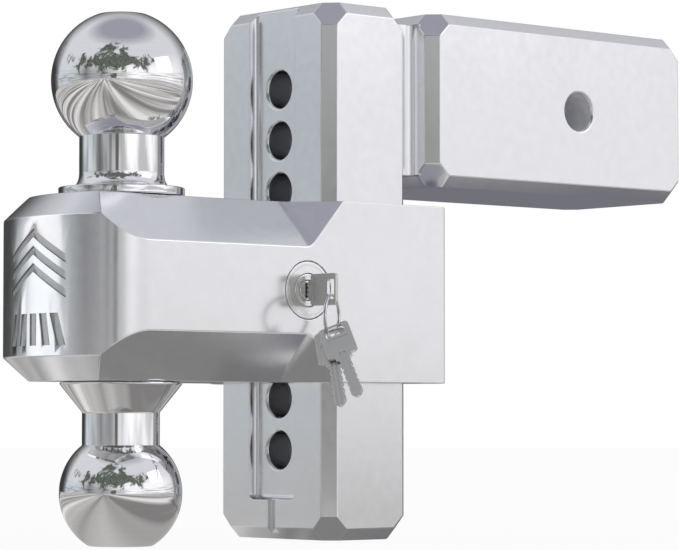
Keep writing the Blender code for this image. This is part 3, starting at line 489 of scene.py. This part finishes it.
def nickel_edge():
    colour = [min(c * 2.5, 1) for c in bpy.context.scene.hitch_finish.nickel]
    return metal("nickel_edge", colour, 0.12, (1600, (1, 1, 5)), (0.05, 0.08, 0.5), 1.5e-6)


def brass():
    return metal("stamped_brass", (0.70, 0.50, 0.22), 0.30, (2400, (1, 6, 1)), (0.14, 0.10, 0.5), 2.0e-6)


# Meshes


def piece(name, edit, materials):
    """Turn a bmesh in the row frame into an object with its materials."""
    mesh = bpy.data.meshes.new(name)
    edit.to_mesh(mesh)
    edit.free()
    made = bpy.data.objects.new(name, mesh)
    bpy.context.scene.collection.objects.link(made)
    for material in materials:
        mesh.materials.append(material)
    return made


def bake(item):
    """Keep the shape that the modifiers give."""
    depsgraph = bpy.context.evaluated_depsgraph_get()
    mesh = bpy.data.meshes.new_from_object(item.evaluated_get(depsgraph))
    item.modifiers.clear()
    item.data = mesh
    mesh.name = item.name
    return item


def cut(item, cutters):
    """Cut solids from a piece. Each cut keeps the cutter's material."""
    for cutter in cutters:
        modifier = item.modifiers.new("Cut", "BOOLEAN")
        modifier.operation = "DIFFERENCE"
        modifier.solver = "EXACT"
        modifier.material_mode = "TRANSFER"
        modifier.object = cutter
    bake(item)
    for cutter in cutters:
        bpy.data.objects.remove(cutter)
    return item


def soften(item, width, segments=3, edge_slot=1, angle=26):
    """Round the sharp edges and give the round the material in another slot."""
    modifier = item.modifiers.new("Edges", "BEVEL")
    modifier.width = width
    modifier.segments = segments
    modifier.limit_method = "ANGLE"
    modifier.angle_limit = math.radians(angle)
    modifier.use_clamp_overlap = False
    modifier.material = edge_slot
    return bake(item)


def smooth(item):
    """Smooth shading that keeps wide faces flat."""
    item.data.shade_smooth()
    item.data.set_sharp_from_angle(angle=SMOOTH_ANGLE)
    modifier = item.modifiers.new("Normals", "WEIGHTED_NORMAL")
    modifier.keep_sharp = True
    modifier.weight = 80
    return bake(item)


def copied(node, name, materials):
    """A copy of a CAD node's mesh with its flat faces whole again."""
    edit = bmesh.new()
    edit.from_mesh(frame["nodes"][node].data)
    bmesh.ops.remove_doubles(edit, verts=edit.verts, dist=2e-6)
    bmesh.ops.dissolve_limit(edit, angle_limit=math.radians(0.4), verts=edit.verts, edges=edit.edges)
    for face in edit.faces:
        face.material_index = 0
    return piece(name, edit, materials)


def stand_for(item, body, slot, *nodes):
    """Let a piece ride on its body in place of its CAD nodes."""
    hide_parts(*nodes)
    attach(item, body)
    return item


def arc(centre, radius, first, last, steps):
    """Points of an arc between two angles in degrees."""
    angles = [math.radians(first + (last - first) * k / steps) for k in range(steps + 1)]
    return [(centre[0] + radius * math.cos(a), centre[1] + radius * math.sin(a)) for a in angles]


def lathe(name, profile, materials, matrix, steps=BALL_STEPS, closed=False):
    """Turn a profile of (radius, height) points round Z and place it."""
    edit = bmesh.new()
    rows = []
    for radius, height in profile:
        if radius == 0:
            rows.append([edit.verts.new((0, 0, height))] * steps)
            continue
        angles = [math.tau * k / steps for k in range(steps)]
        rows.append([edit.verts.new((radius * math.cos(a), radius * math.sin(a), height)) for a in angles])
    if closed:
        rows.append(rows[0])
    for lower, upper in zip(rows, rows[1:]):
        for k in range(steps):
            near = (k + 1) % steps
            corners = list(dict.fromkeys((lower[k], lower[near], upper[near], upper[k])))
            if len(corners) > 2:
                edit.faces.new(corners)
    bmesh.ops.recalc_face_normals(edit, faces=edit.faces)
    bmesh.ops.transform(edit, matrix=matrix, verts=edit.verts)
    return piece(name, edit, materials)


def rounded(profile, corners, radius, steps=4):
    """A profile whose numbered corners are rounded."""
    points = []
    for k, point in enumerate(profile):
        if k not in corners:
            points.append(point)
            continue
        here = Vector(point)
        before = (Vector(profile[k - 1]) - here).normalized()
        after = (Vector(profile[(k + 1) % len(profile)]) - here).normalized()
        start = here + before * radius
        end = here + after * radius
        for step in range(steps + 1):
            t = step / steps
            bent = start * (1 - t) ** 2 + here * 2 * t * (1 - t) + end * t**2
            points.append(tuple(bent))
    return points


def prism(name, outline, axis, start, end, materials=()):
    """Extrude an outline along X, Y or Z. Its points are the two other places, in XYZ order."""
    k = "XYZ".index(axis)
    edit = bmesh.new()
    rows = [[edit.verts.new((*pair[:k], height, *pair[k:])) for pair in outline] for height in (start, end)]
    edit.faces.new(rows[0])
    edit.faces.new(reversed(rows[1]))
    count = len(outline)
    for j in range(count):
        near = (j + 1) % count
        edit.faces.new((rows[0][j], rows[0][near], rows[1][near], rows[1][j]))
    bmesh.ops.recalc_face_normals(edit, faces=edit.faces)
    return piece(name, edit, materials)


# Ball mount


def nose_outline(inset):
    """The nose from above, moved in by inset from its surface."""
    front_x = NOSE_RADIUS - NOSE_FRONT
    corner_y = HALF_WIDTH - NOSE_CORNER
    corner_x = front_x - math.sqrt((NOSE_RADIUS - NOSE_CORNER) ** 2 - corner_y**2)
    join = math.degrees(math.atan2(corner_y, corner_x - front_x))
    half = [(0, HALF_WIDTH - inset)]
    half += arc((corner_x, corner_y), NOSE_CORNER - inset, 90, join, 14)
    half += arc((front_x, 0), NOSE_RADIUS - inset, join, 180, 8)[1:]
    return half + [(x, -y) for x, y in reversed(half[:-1])]


def pattern_outlines():
    """Three chevrons above a row of slanted bars, in Y and Z from the middle of the nose."""
    outlines = []
    for level in CHEVRON_LEVELS:
        upper = [(-PATTERN_HALF, level), (0, level + CHEVRON_RISE), (PATTERN_HALF, level)]
        outlines.append(upper + [(y, z - CHEVRON_STROKE) for y, z in reversed(upper)])
    low, high = STRIPE_SPAN
    for k in range(STRIPE_COUNT):
        y = -PATTERN_HALF + k * (2 * PATTERN_HALF - STRIPE_WIDTH) / (STRIPE_COUNT - 1)
        shift = STRIPE_LEAN * (1 - k / 2)
        outlines.append([(y, low), (y + STRIPE_WIDTH, low), (y + STRIPE_WIDTH + shift, high), (y + shift, high)])
    return outlines


def nose_cutters(depth):
    """Cutters that reach the same depth everywhere under the curved nose."""
    material = engraved_aluminium()
    cutters = []
    for outline in pattern_outlines():
        solid = prism("pattern", outline, "X", -NOSE_FRONT - 10 * MM, -NOSE_FRONT + 20 * MM, [material])
        core = prism("core", nose_outline(depth), "Z", -HALF_HEIGHT, HALF_HEIGHT, [material])
        cut(solid, [core])
        solid.data.transform(Matrix.Translation(BALL_AXIS))
        cutters.append(solid)
    return cutters


def in_bore(place):
    """True inside the hitch pin hole and the height holes, where the metal is drilled and its faces get a
    lighter colour that is painted light.
    """
    if math.hypot(place.x, place.z) < PIN_HOLE_RADIUS:
        return True
    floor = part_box("drawbar")[0]
    bar_front = floor.x + CHANNEL_DEPTH
    level = (place.z - floor.z - LOWEST_HOLE) / HOLE_PITCH
    hole = min(max(round(level), 0), HOLE_COUNT - 1)
    away = math.hypot(place.y, (level - hole) * HOLE_PITCH)
    return place.x > bar_front + MM and away < HOLE_RADIUS


class HITCH_OT_drawbar(bpy.types.Operator):
    """Make the shank and its upright bar, with softened edges"""

    bl_idname = "hitch.drawbar"
    bl_label = "Drawbar"

    def execute(self, context):
        # Slot two, on the rounded edges, carries a painted highlight.
        bar = copied("drawbar", "machined_drawbar", [aluminium(), cut_and_highlight_aluminium(), drilled_aluminium_painted_light()])
        for face in bar.data.polygons:
            # Faces in the bores take slot three, whose lighter colour is painted light.
            if all(in_bore(bar.data.vertices[k].co) for k in face.vertices):
                face.material_index = 2
        soften(bar, context.scene.hitch_finish.edge_width)
        stand_for(smooth(bar), "drawbar", "aluminium", "drawbar")
        return {"FINISHED"}


class HITCH_OT_ball_mount(bpy.types.Operator):
    """Make the sliding mount, with softened edges and the pattern on its nose"""

    bl_idname = "hitch.ball_mount"
    bl_label = "Ball mount"

    def execute(self, context):
        look = context.scene.hitch_finish
        # Slot two, on the rounded edges, carries a painted highlight.
        mount = copied("ball_mount", "machined_ball_mount", [aluminium(), cut_and_highlight_aluminium()])
        soften(mount, look.edge_width)
        cut(mount, nose_cutters(look.engraving_depth))
        stand_for(smooth(mount), "ball_mount", "aluminium", "ball_mount")
        return {"FINISHED"}


# Balls


def sphere_profile(radius, flat, neck, steps):
    """From the flat to where the neck meets the ball, with a small round at the flat's edge."""
    first = math.degrees(math.asin(flat / radius))
    last = -math.degrees(math.acos(neck / radius))
    outline = arc((0, 0), radius, first - 1.2, last, steps)
    edge = math.cos(math.radians(first)) * radius
    return [(0, flat), (edge - 0.9 * MM, flat), (edge - 0.35 * MM, flat - 0.05 * MM), *outline]


def large_ball_profile():
    ball = [(r, z + LARGE_RISE) for r, z in sphere_profile(LARGE_RADIUS, LARGE_FLAT, LARGE_NECK, 64)]
    root = FLANGE_ROOT[0] - LARGE_NECK
    top = SEAT_GAP + FLANGE[1]
    fillet = [(LARGE_NECK + root * x, top + FLANGE_ROOT[1] * z) for x, z in arc((1, 1), 1, 180, 270, 14)]
    disc = [fillet[-1], (FLANGE[0], top), (FLANGE[0], SEAT_GAP), (STUD_RADIUS, SEAT_GAP)]
    disc = rounded(disc, (1, 2), 0.6 * MM)
    end = -2 * HALF_HEIGHT - SEAT_GAP - STUD_IN_SMALL_BALL
    stud = [(STUD_RADIUS, end + 1.5 * MM), (STUD_RADIUS - 1.5 * MM, end), (0, end)]
    return ball + fillet + disc[1:] + stud


def small_ball_profile():
    ball = [(r, -z - SMALL_DROP) for r, z in sphere_profile(SMALL_RADIUS, SMALL_FLAT, SMALL_NECK, 56)]
    bore = STUD_RADIUS + SEAT_GAP
    depth = -SEAT_GAP - STUD_IN_SMALL_BALL - 4 * SEAT_GAP
    cone = [
        (SMALL_NECK, -SEAT_GAP - CONE[1]),
        (CONE[0], -SEAT_GAP - 0.8 * MM),
        (CONE[0], -SEAT_GAP),
        (bore + 1.5 * MM, -SEAT_GAP),
    ]
    cone = rounded([ball[-1], *cone], (1, 2, 3), 0.4 * MM)
    return ball + cone[1:] + [(bore, -SEAT_GAP - 1.5 * MM), (bore, depth), (0, depth)]


class HITCH_OT_balls(bpy.types.Operator):
    """Make both chrome balls"""

    bl_idname = "hitch.balls"
    bl_label = "Balls"

    def execute(self, context):
        top = Matrix.Translation(BALL_AXIS + Vector((0, 0, HALF_HEIGHT)))
        large = lathe("chrome_large_ball", large_ball_profile(), [chrome()], top)
        stand_for(smooth(large), "ball_mount", "chrome", "large_ball")
        bottom = Matrix.Translation(BALL_AXIS - Vector((0, 0, HALF_HEIGHT)))
        small = lathe("chrome_small_ball", small_ball_profile(), [chrome()], bottom)
        stand_for(smooth(small), "ball_mount", "chrome", "small_ball")
        return {"FINISHED"}


# Lock


def shell_profile(node, outer, inner, rim):
    """A turned shell along Y, with a fine groove inside the rim of the face at its lowest Y.

    The cartridge also has a rear wall, with a hole for the tail."""
    low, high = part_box(node)
    face, rear = low.y, high.y
    floor_start, floor_end, far_edge, depth = RIM_GROOVE
    edge = outer - rim
    outline = [(outer, rear), (outer, face), (edge, face)]
    outline += [(edge - floor_start, face + depth), (edge - floor_end, face + depth), (edge - far_edge, face)]
    outline.append((inner, face))
    if node == "lock_cartridge":
        wall = rear - REAR_WALL
        outline += [(inner, wall), (TAIL_RADIUS, wall), (TAIL_RADIUS, rear)]
    else:
        outline.append((inner, rear))
    return rounded(outline, (1,), 0.35 * MM)


class HITCH_OT_lock(bpy.types.Operator):
    """Make the turned rings of the lock and the plug with its keyway"""

    bl_idname = "hitch.lock"
    bl_label = "Lock"

    def execute(self, context):
        steel = lock_steel()
        place = Matrix.Translation((LOCK_AT.x, 0, LOCK_AT.z)) @ Matrix.Rotation(-math.pi / 2, 4, "X")
        for node, outer, inner, rim in (
            ("lock_cartridge", CARTRIDGE_RADIUS, CYLINDER_RADIUS + 0.3 * MM, 1.2 * MM),
            ("lock_cylinder", CYLINDER_RADIUS, PLUG_BORE, 0.7 * MM),
        ):
            profile = shell_profile(node, outer, inner, rim)
            ring = lathe(f"turned_{node}", profile, [steel], place, LOCK_STEPS, closed=True)
            stand_for(smooth(ring), "ball_mount", "bright_steel", node)
        plug = copied("lock_plug", "turned_lock_plug", [steel, steel])
        soften(plug, 0.12 * MM, 2)
        stand_for(smooth(plug), "lock_plug", "bright_steel", "lock_plug")
        return {"FINISHED"}


# Keys and ring


def key_outline():
    half_bow = BOW[1] / 2
    half_blade = BLADE[1] / 2
    shoulder = BOW[0] + KEY_NECK[0]
    tip = shoulder + BLADE[0]
    corner = half_bow - BOW_ROUND
    side = arc((BOW_ROUND, corner), BOW_ROUND, 180, 90, 8)
    side += arc((BOW[0] - BOW_ROUND, corner), BOW_ROUND, 90, 0, 8)
    side += [(BOW[0], KEY_NECK[1] / 2), (shoulder, KEY_NECK[1] / 2), (shoulder, half_blade)]
    step = (BLADE[0] - 2 * half_blade) / NOTCH_COUNT
    for k in range(NOTCH_COUNT):
        start = shoulder + step * (k + 0.3)
        depth = NOTCH_DEPTH * (1 if k % 2 else 0.6)
        side += [(start, half_blade), (start + step * 0.25, half_blade - depth)]
        side += [(start + step * 0.5, half_blade - depth), (start + step * 0.75, half_blade)]
    side += [(tip - half_blade, half_blade), (tip, half_blade * 0.3)]
    return side + [(y, -z) for y, z in reversed(side)]


def rounded_box(size, centre, radius):
    """The outline of a box with round corners, in Y and Z."""
    half_y, half_z = size[0] / 2 - radius, size[1] / 2 - radius
    points = []
    corners = ((half_y, half_z), (-half_y, half_z), (-half_y, -half_z), (half_y, -half_z))
    for turn, (y, z) in enumerate(corners):
        points += arc((centre + y, z), radius, 90 * turn, 90 * turn + 90, 5)
    return points


def make_key(name, matrix, edge):
    """A stamped key: a slotted bow with a sunk panel, and a blade with milled grooves."""
    half = KEY_THICK / 2
    key = prism(name, key_outline(), "X", -half, half, [nickel(), nickel_edge()])
    slot_middle = SLOT_INSET + BOW_SLOT[0] / 2
    slot = rounded_box(BOW_SLOT, slot_middle, 0.9 * MM)
    cut(key, [prism("slot", slot, "X", -FAR, FAR, [nickel_edge()])])
    soften(key, edge, 2)
    sunk = GROOVE[1] / 2
    groove_start = BOW[0] - 1.5 * MM
    groove_end = BOW[0] + KEY_NECK[0] + BLADE[0] + BLADE[1]
    panel_start = SLOT_INSET + BOW_SLOT[0] + 1.5 * MM
    panel_end = BOW[0] - 2.6 * MM
    panel = rounded_box((panel_end - panel_start, BOW[1] - 3.2 * MM), (panel_start + panel_end) / 2, 1.0 * MM)
    cutters = []
    for side in (-1, 1):
        face = side * half
        for middle in (-0.9 * MM, 0.95 * MM):
            low, high = middle - GROOVE[0] / 2, middle + GROOVE[0] / 2
            outline = [(groove_start, low), (groove_end, low), (groove_end, high), (groove_start, high)]
            floor = face - side * GROOVE[1]
            cutters.append(prism("groove", outline, "X", floor, face + side * MM, [nickel()]))
        cutters.append(prism("panel", panel, "X", face - side * sunk, face + side * MM, [nickel()]))
    cut(key, cutters)
    key.data.transform(matrix)
    return smooth(key)


class HITCH_OT_keys(bpy.types.Operator):
    """Make the key in the lock and both spare keys"""

    bl_idname = "hitch.keys"
    bl_label = "Keys"

    def execute(self, context):
        edge = context.scene.hitch_finish.key_edge
        bow_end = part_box("key_in_lock")[0].y
        key = make_key("stamped_key_in_lock", Matrix.Translation((LOCK_AT.x, bow_end, LOCK_AT.z)), edge)
        stand_for(key, "lock_key", "nickel_plate", "key_in_lock")
        lean = Matrix.Rotation(RING_TURN, 4, "Z") @ Matrix.Rotation(SPARE_LEAN, 4, "Y")
        for name, (joint, tilt, shift) in SPARES.items():
            pivot = Matrix.Translation(JOINTS[joint]["pos_m"]) @ lean @ Matrix.Rotation(-tilt, 4, "X")
            hang = Matrix.Translation((0, -shift, SPARE_HANG)) @ Matrix.Rotation(-math.pi / 2, 4, "X")
            spare = make_key(f"stamped_{name}", pivot @ hang, edge)
            stand_for(spare, name, "nickel_plate", name)
        return {"FINISHED"}


class HITCH_OT_key_ring(bpy.types.Operator):
    """Make the split ring: two turns of flattened wire"""

    bl_idname = "hitch.key_ring"
    bl_label = "Key ring"

    def execute(self, context):
        turns, steps, sides = 2, 96, 12
        cross_start, cross_length = 0.44, 0.12  # shares of the wire where it crosses to the next turn
        thin_end = 0.35
        out, along = WIRE_SECTION
        edit = bmesh.new()
        rows = []
        total = turns * steps
        for k in range(total + 1):
            angle = math.tau * k / steps + math.radians(60)
            t = k / total
            step_over = min(max((t - cross_start) / cross_length, 0), 1)
            middle = (step_over - 0.5) * COIL_SPACING
            end = min(t, 1 - t) * total / 3
            taper = thin_end + (1 - thin_end) * min(end, 1)
            row = []
            for j in range(sides):
                a = math.tau * j / sides
                radius = RING_RADIUS + out * taper * math.cos(a)
                height = middle + along * math.sin(a)
                row.append(edit.verts.new((radius * math.cos(angle), height, radius * math.sin(angle))))
            rows.append(row)
        edit.faces.new(rows[0])
        edit.faces.new(reversed(rows[-1]))
        for lower, upper in zip(rows, rows[1:]):
            for j in range(sides):
                near = (j + 1) % sides
                edit.faces.new((lower[j], lower[near], upper[near], upper[j]))
        bmesh.ops.recalc_face_normals(edit, faces=edit.faces)
        low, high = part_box("key_ring")
        place = Matrix.Translation((low + high) / 2) @ Matrix.Rotation(RING_TURN, 4, "Z")
        bmesh.ops.transform(edit, matrix=place, verts=edit.verts)
        ring = piece("split_key_ring", edit, [nickel_edge()])
        stand_for(smooth(ring), "key_ring", "nickel_plate", "key_ring")
        return {"FINISHED"}


# Pin drive


class HITCH_OT_pin_drive(bpy.types.Operator):
    """Give the pin drive inside the mount its finishes"""

    bl_idname = "hitch.pin_drive"
    bl_label = "Pin drive"

    def execute(self, context):
        finishes = {
            "pin_guide": ground_steel(),
            "rack_carriage": ground_steel(),
            "drive_pinion": lock_steel(),
        }
        for name, node in frame["nodes"].items():
            if node.hide_render:
                continue
            finish = brass() if name.startswith("wafer") else finishes.get(name, black_oxide())
            node.data.materials.clear()
            node.data.materials.append(finish)
        return {"FINISHED"}


# Stage

LIGHT_ROUND = (  # direction round Z in degrees, brightness and tint
    (0, 0.60, (1.0, 1.0, 1.0)),
    (22, 0.22, (1.0, 1.0, 1.0)),
    (50, 0.06, (0.95, 1.0, 0.97)),
    (92, 0.05, (1.0, 1.0, 1.0)),
    (102, 0.22, (0.95, 0.98, 1.0)),
    (112, 0.80, (0.90, 0.96, 1.0)),
    (135, 0.86, (0.90, 0.96, 1.0)),
    (158, 0.66, (0.94, 0.98, 1.0)),
    (172, 0.28, (0.96, 0.96, 1.0)),
    (188, 0.58, (0.98, 0.98, 1.0)),
    (203, 0.50, (0.98, 0.98, 1.0)),
    (212, 0.62, (0.98, 0.98, 1.0)),
    (224, 0.95, (1.0, 1.0, 1.0)),
    (246, 1.25, (1.0, 0.99, 1.0)),
    (262, 1.26, (1.0, 0.99, 1.0)),
    (318, 1.26, (1.0, 0.99, 1.0)),
    (342, 1.00, (1.0, 1.0, 1.0)),
    (360, 0.60, (1.0, 1.0, 1.0)),
)
SKY = (0.80, 0.81, 0.84)
ZENITH = (0.40, 0.40, 0.46)
FLAG_WAY = (0.648, 0.760, 0.0)  # level direction of the dark flag above the backdrop
FLAG = (0.05, 0.05, 0.055)
BAND_HEIGHT = 0.06
BAND = (0.05, 0.055, 0.05)
LEAVES_AT = (0.60, 0.42)  # share of the turn round Z, and height
LEAF_SHADE = (0.02, 0.03, 0.02)
LEAF_LIGHT = (0.14, 0.17, 0.12)
DARK_CARD = (0.19, 0.19, 0.215)
PALE_CARD = (0.95, 0.93, 0.90)
CARD_EDGE = (-0.14, -0.10)  # the floor turns from pale to dark between these places, from its middle
CARD_SIDE = (-0.09, -0.05)
LANE_TURN = 0.45
FLOOR_RADIUS = 6.0
SIDE_BOX = (Vector((0.9, -1.3, 0.7)), (0.9, 0.6), 1.5)  # place from the hitch's middle, size and power
NOSE_BOX = (Vector((-0.45, 0.42, 0)), (0.40, 0.9), 0.75)  # the same, from the front of the nose
SENSOR_WIDTH = 36.0
CAMERA_AT = Vector((-0.9997, -1.0438, -0.1424))
CAMERA_TURN = (math.radians(90 + 2.77), 0, math.radians(-40.44))


def studio_light(strength):
    """The light all round: bright to the sides, with dark flags that give the chrome its edges."""
    world = bpy.data.worlds.new("studio")
    bpy.context.scene.world = world
    world.use_nodes = True
    tree = world.node_tree
    tree.nodes.clear()
    place = add(tree, "ShaderNodeTexCoord").outputs["Generated"]
    parts = add(tree, "ShaderNodeSeparateXYZ", {0: place}).outputs
    turn = math_node(tree, "ARCTAN2", parts["Y"], parts["X"])
    share = math_node(tree, "FRACT", math_node(tree, "DIVIDE", turn, math.tau))
    ramp = add(tree, "ShaderNodeValToRGB", {"Fac": share})
    stops = ramp.color_ramp.elements
    for k, (angle, bright, tint) in enumerate(LIGHT_ROUND):
        stop = stops[k] if k < 2 else stops.new(angle / 360)
        stop.position = angle / 360
        stop.color = (*[bright * c for c in tint], 1)
    height = parts["Z"]
    band_place = add(tree, "ShaderNodeCombineXYZ", {0: math_node(tree, "MULTIPLY", share, 9.0), 1: height})
    drawn = vector_node(tree, "MULTIPLY", band_place.outputs[0], (1, 26, 1))[0]
    bands = add(tree, "ShaderNodeTexNoise", {"Vector": drawn, "Scale": 1.3, "Detail": 6.0})
    band_mask = spread(tree, bands.outputs["Fac"], 0.42, 0.56, 1.0, 0.0)
    level = math_node(tree, "ABSOLUTE", math_node(tree, "SUBTRACT", height, BAND_HEIGHT))
    dark = math_node(tree, "MULTIPLY", band_mask, spread(tree, level, 0.03, 0.16, 0.5, 0.0))
    banded = blend_colours(tree, dark, ramp.outputs["Color"], BAND)
    leaf_place = {"Vector": place, "Scale": 3.4, "Detail": 9.0, "Roughness": 0.62, "Distortion": 0.5}
    leaves = add(tree, "ShaderNodeTexNoise", leaf_place)
    aside = math_node(tree, "ABSOLUTE", math_node(tree, "SUBTRACT", share, LEAVES_AT[0]))
    clump = math_node(tree, "SUBTRACT", math_node(tree, "MULTIPLY", aside, 1.1), leaves.outputs["Fac"])
    lift = math_node(tree, "ABSOLUTE", math_node(tree, "SUBTRACT", height, LEAVES_AT[1]))
    clump = math_node(tree, "ADD", clump, math_node(tree, "MULTIPLY", lift, 0.75))
    leafy = spread(tree, clump, -0.30, -0.22, 0.92, 0.0)
    speckle = add(tree, "ShaderNodeTexNoise", {"Vector": place, "Scale": 24.0, "Detail": 5.0}).outputs["Fac"]
    leaf = blend_colours(tree, spread(tree, speckle, 0.35, 0.65), LEAF_SHADE, LEAF_LIGHT)
    up = spread(tree, height, 0.18, 0.55)
    ahead = vector_node(tree, "DOT_PRODUCT", place, FLAG_WAY)["Value"]
    overhead = blend_colours(tree, spread(tree, height, 0.78, 0.93), SKY, ZENITH)
    sky = blend_colours(tree, spread(tree, ahead, 0.45, 1.0), overhead, FLAG)
    above = blend_colours(tree, leafy, blend_colours(tree, up, banded, sky), leaf)
    seen = add(tree, "ShaderNodeLightPath").outputs["Is Camera Ray"]
    shown = blend_colours(tree, seen, above, (1.0, 1.0, 1.0))
    background = add(tree, "ShaderNodeBackground", {"Color": shown, "Strength": strength})
    out = tree.nodes.new("ShaderNodeOutputWorld")
    tree.links.new(background.outputs[0], out.inputs[0])


def floor_material(colour):
    """Plain and pale where it is seen, and a darker card where the metal mirrors it."""
    material = bpy.data.materials.new("pale_floor")
    material.use_nodes = True
    tree = material.node_tree
    shader = tree.nodes["Principled BSDF"]
    out = tree.nodes["Material Output"]
    shader.inputs["Roughness"].default_value = 0.9
    place = add(tree, "ShaderNodeTexCoord").outputs["Object"]
    noise = add(tree, "ShaderNodeTexNoise", {"Vector": place, "Scale": 30.0, "Detail": 4.0}).outputs["Fac"]
    mottled = blend_colours(tree, noise, [c * 0.98 for c in colour], colour)
    tree.links.new(mottled, shader.inputs["Base Color"])
    white = add(tree, "ShaderNodeEmission", {"Color": (1, 1, 1, 1), "Strength": 1.0})
    pale = add(tree, "ShaderNodeMixShader", {0: 0.95, 1: shader.outputs[0], 2: white.outputs[0]})
    parts = add(tree, "ShaderNodeSeparateXYZ", {0: place}).outputs
    across = math_node(tree, "SUBTRACT", parts["Y"], math_node(tree, "MULTIPLY", parts["X"], LANE_TURN))
    along = math_node(tree, "MULTIPLY", parts["X"], 0.05)
    lane_place = add(tree, "ShaderNodeCombineXYZ", {0: along, 1: across})
    lanes = add(tree, "ShaderNodeTexNoise", {"Vector": lane_place.outputs[0], "Scale": 9.0, "Detail": 3.0})
    lane = spread(tree, lanes.outputs["Fac"], 0.40, 0.60)
    pale_lane = blend_colours(tree, lane, [c * 0.28 for c in PALE_CARD], PALE_CARD)
    past_edge = spread(tree, parts["X"], *CARD_EDGE)
    past_side = spread(tree, parts["Y"], *CARD_SIDE)
    in_dark = math_node(tree, "MULTIPLY", past_edge, past_side)
    card_colour = blend_colours(tree, in_dark, pale_lane, DARK_CARD)
    card = add(tree, "ShaderNodeEmission", {"Color": card_colour, "Strength": 1.0})
    seen = add(tree, "ShaderNodeLightPath").outputs["Is Camera Ray"]
    mixed = add(tree, "ShaderNodeMixShader", {0: seen, 1: card.outputs[0], 2: pale.outputs[0]})
    tree.links.new(mixed.outputs[0], out.inputs["Surface"])
    return material


def make_floor(stage):
    """A round floor under the lowest point of the hitch."""
    edit = bmesh.new()
    low = CAD_BOX[0].z - stage.floor_drop
    middle = (CAD_BOX[0] + CAD_BOX[1]) / 2
    matrix = Matrix.Translation((middle.x, middle.y, low))
    bmesh.ops.create_circle(edit, cap_ends=True, segments=96, radius=FLOOR_RADIUS, matrix=matrix)
    floor = piece("studio_floor", edit, [floor_material(stage.floor)])


def make_soft_box(name, target, offset, size, power, only=None):
    """An unseen area light at an offset from its target, which may light one piece only."""
    lamp = bpy.data.lights.new(name, "AREA")
    lamp.shape = "RECTANGLE"
    lamp.size, lamp.size_y = size
    lamp.energy = power
    item = bpy.data.objects.new(name, lamp)
    item.location = target + offset
    item.rotation_euler = (target - item.location).to_track_quat("-Z", "Y").to_euler()
    item.visible_camera = False
    bpy.context.scene.collection.objects.link(item)
    if only:
        lit = bpy.data.collections.new(f"{name}_lit")
        lit.objects.link(only)
        item.light_linking.receiver_collection = lit


class HITCH_OT_stage(bpy.types.Operator):
    """Make the floor, the studio light and the camera"""

    bl_idname = "hitch.stage"
    bl_label = "Stage"

    def execute(self, context):
        stage = context.scene.hitch_stage
        make_floor(stage)
        studio_light(stage.light)
        middle = (CAD_BOX[0] + CAD_BOX[1]) / 2
        make_soft_box("side_soft_box", middle, *SIDE_BOX)
        nose = BALL_AXIS - Vector((NOSE_FRONT, 0, 0))
        make_soft_box("nose_soft_box", nose, *NOSE_BOX, only=bpy.data.objects["machined_ball_mount"])
        lens = bpy.data.cameras.new("camera")
        lens.lens = stage.lens
        lens.sensor_width = SENSOR_WIDTH
        lens.clip_start = 0.01
        camera = bpy.data.objects.new("camera", lens)
        camera.location = CAMERA_AT
        camera.rotation_euler = CAMERA_TURN
        context.scene.collection.objects.link(camera)
        context.scene.camera = camera
        context.scene.view_settings.view_transform = "Standard"
        return {"FINISHED"}


class HITCH_PT_panel(bpy.types.Panel):
    """The operators of the hitch and its sizes"""

    bl_idname = "HITCH_PT_panel"
    bl_label = "Drop Hitch"
    bl_space_type = "VIEW_3D"
    bl_region_type = "UI"
    bl_category = "Hitch"

    def draw(self, context):
        for operator in OPERATORS:
            self.layout.operator(operator.bl_idname)
        for group_name in ("hitch_finish", "hitch_stage"):
            values = getattr(context.scene, group_name)
            for name in values.__annotations__:
                self.layout.prop(values, name)


OPERATORS = (
    HITCH_OT_drawbar,
    HITCH_OT_ball_mount,
    HITCH_OT_balls,
    HITCH_OT_lock,
    HITCH_OT_keys,
    HITCH_OT_key_ring,
    HITCH_OT_pin_drive,
    HITCH_OT_stage,
)
CLASSES = (HitchFinish, HitchStage, *OPERATORS, HITCH_PT_panel)


def register():
    for item in CLASSES:
        bpy.utils.register_class(item)
    bpy.types.Scene.hitch_finish = bpy.props.PointerProperty(type=HitchFinish)
    bpy.types.Scene.hitch_stage = bpy.props.PointerProperty(type=HitchStage)


def unregister():
    del bpy.types.Scene.hitch_finish
    del bpy.types.Scene.hitch_stage
    for item in reversed(CLASSES):
        bpy.utils.unregister_class(item)


def main():
    for item in list(bpy.data.objects):
        if item.name in ("Cube", "Light", "Camera"):
            bpy.data.objects.remove(item)
    register()
    bpy.ops.hitch.drawbar()
    bpy.ops.hitch.ball_mount()
    bpy.ops.hitch.balls()
    bpy.ops.hitch.lock()
    bpy.ops.hitch.keys()
    bpy.ops.hitch.key_ring()
    bpy.ops.hitch.pin_drive()
    bpy.ops.hitch.stage()


if __name__ == "__main__":
    main()
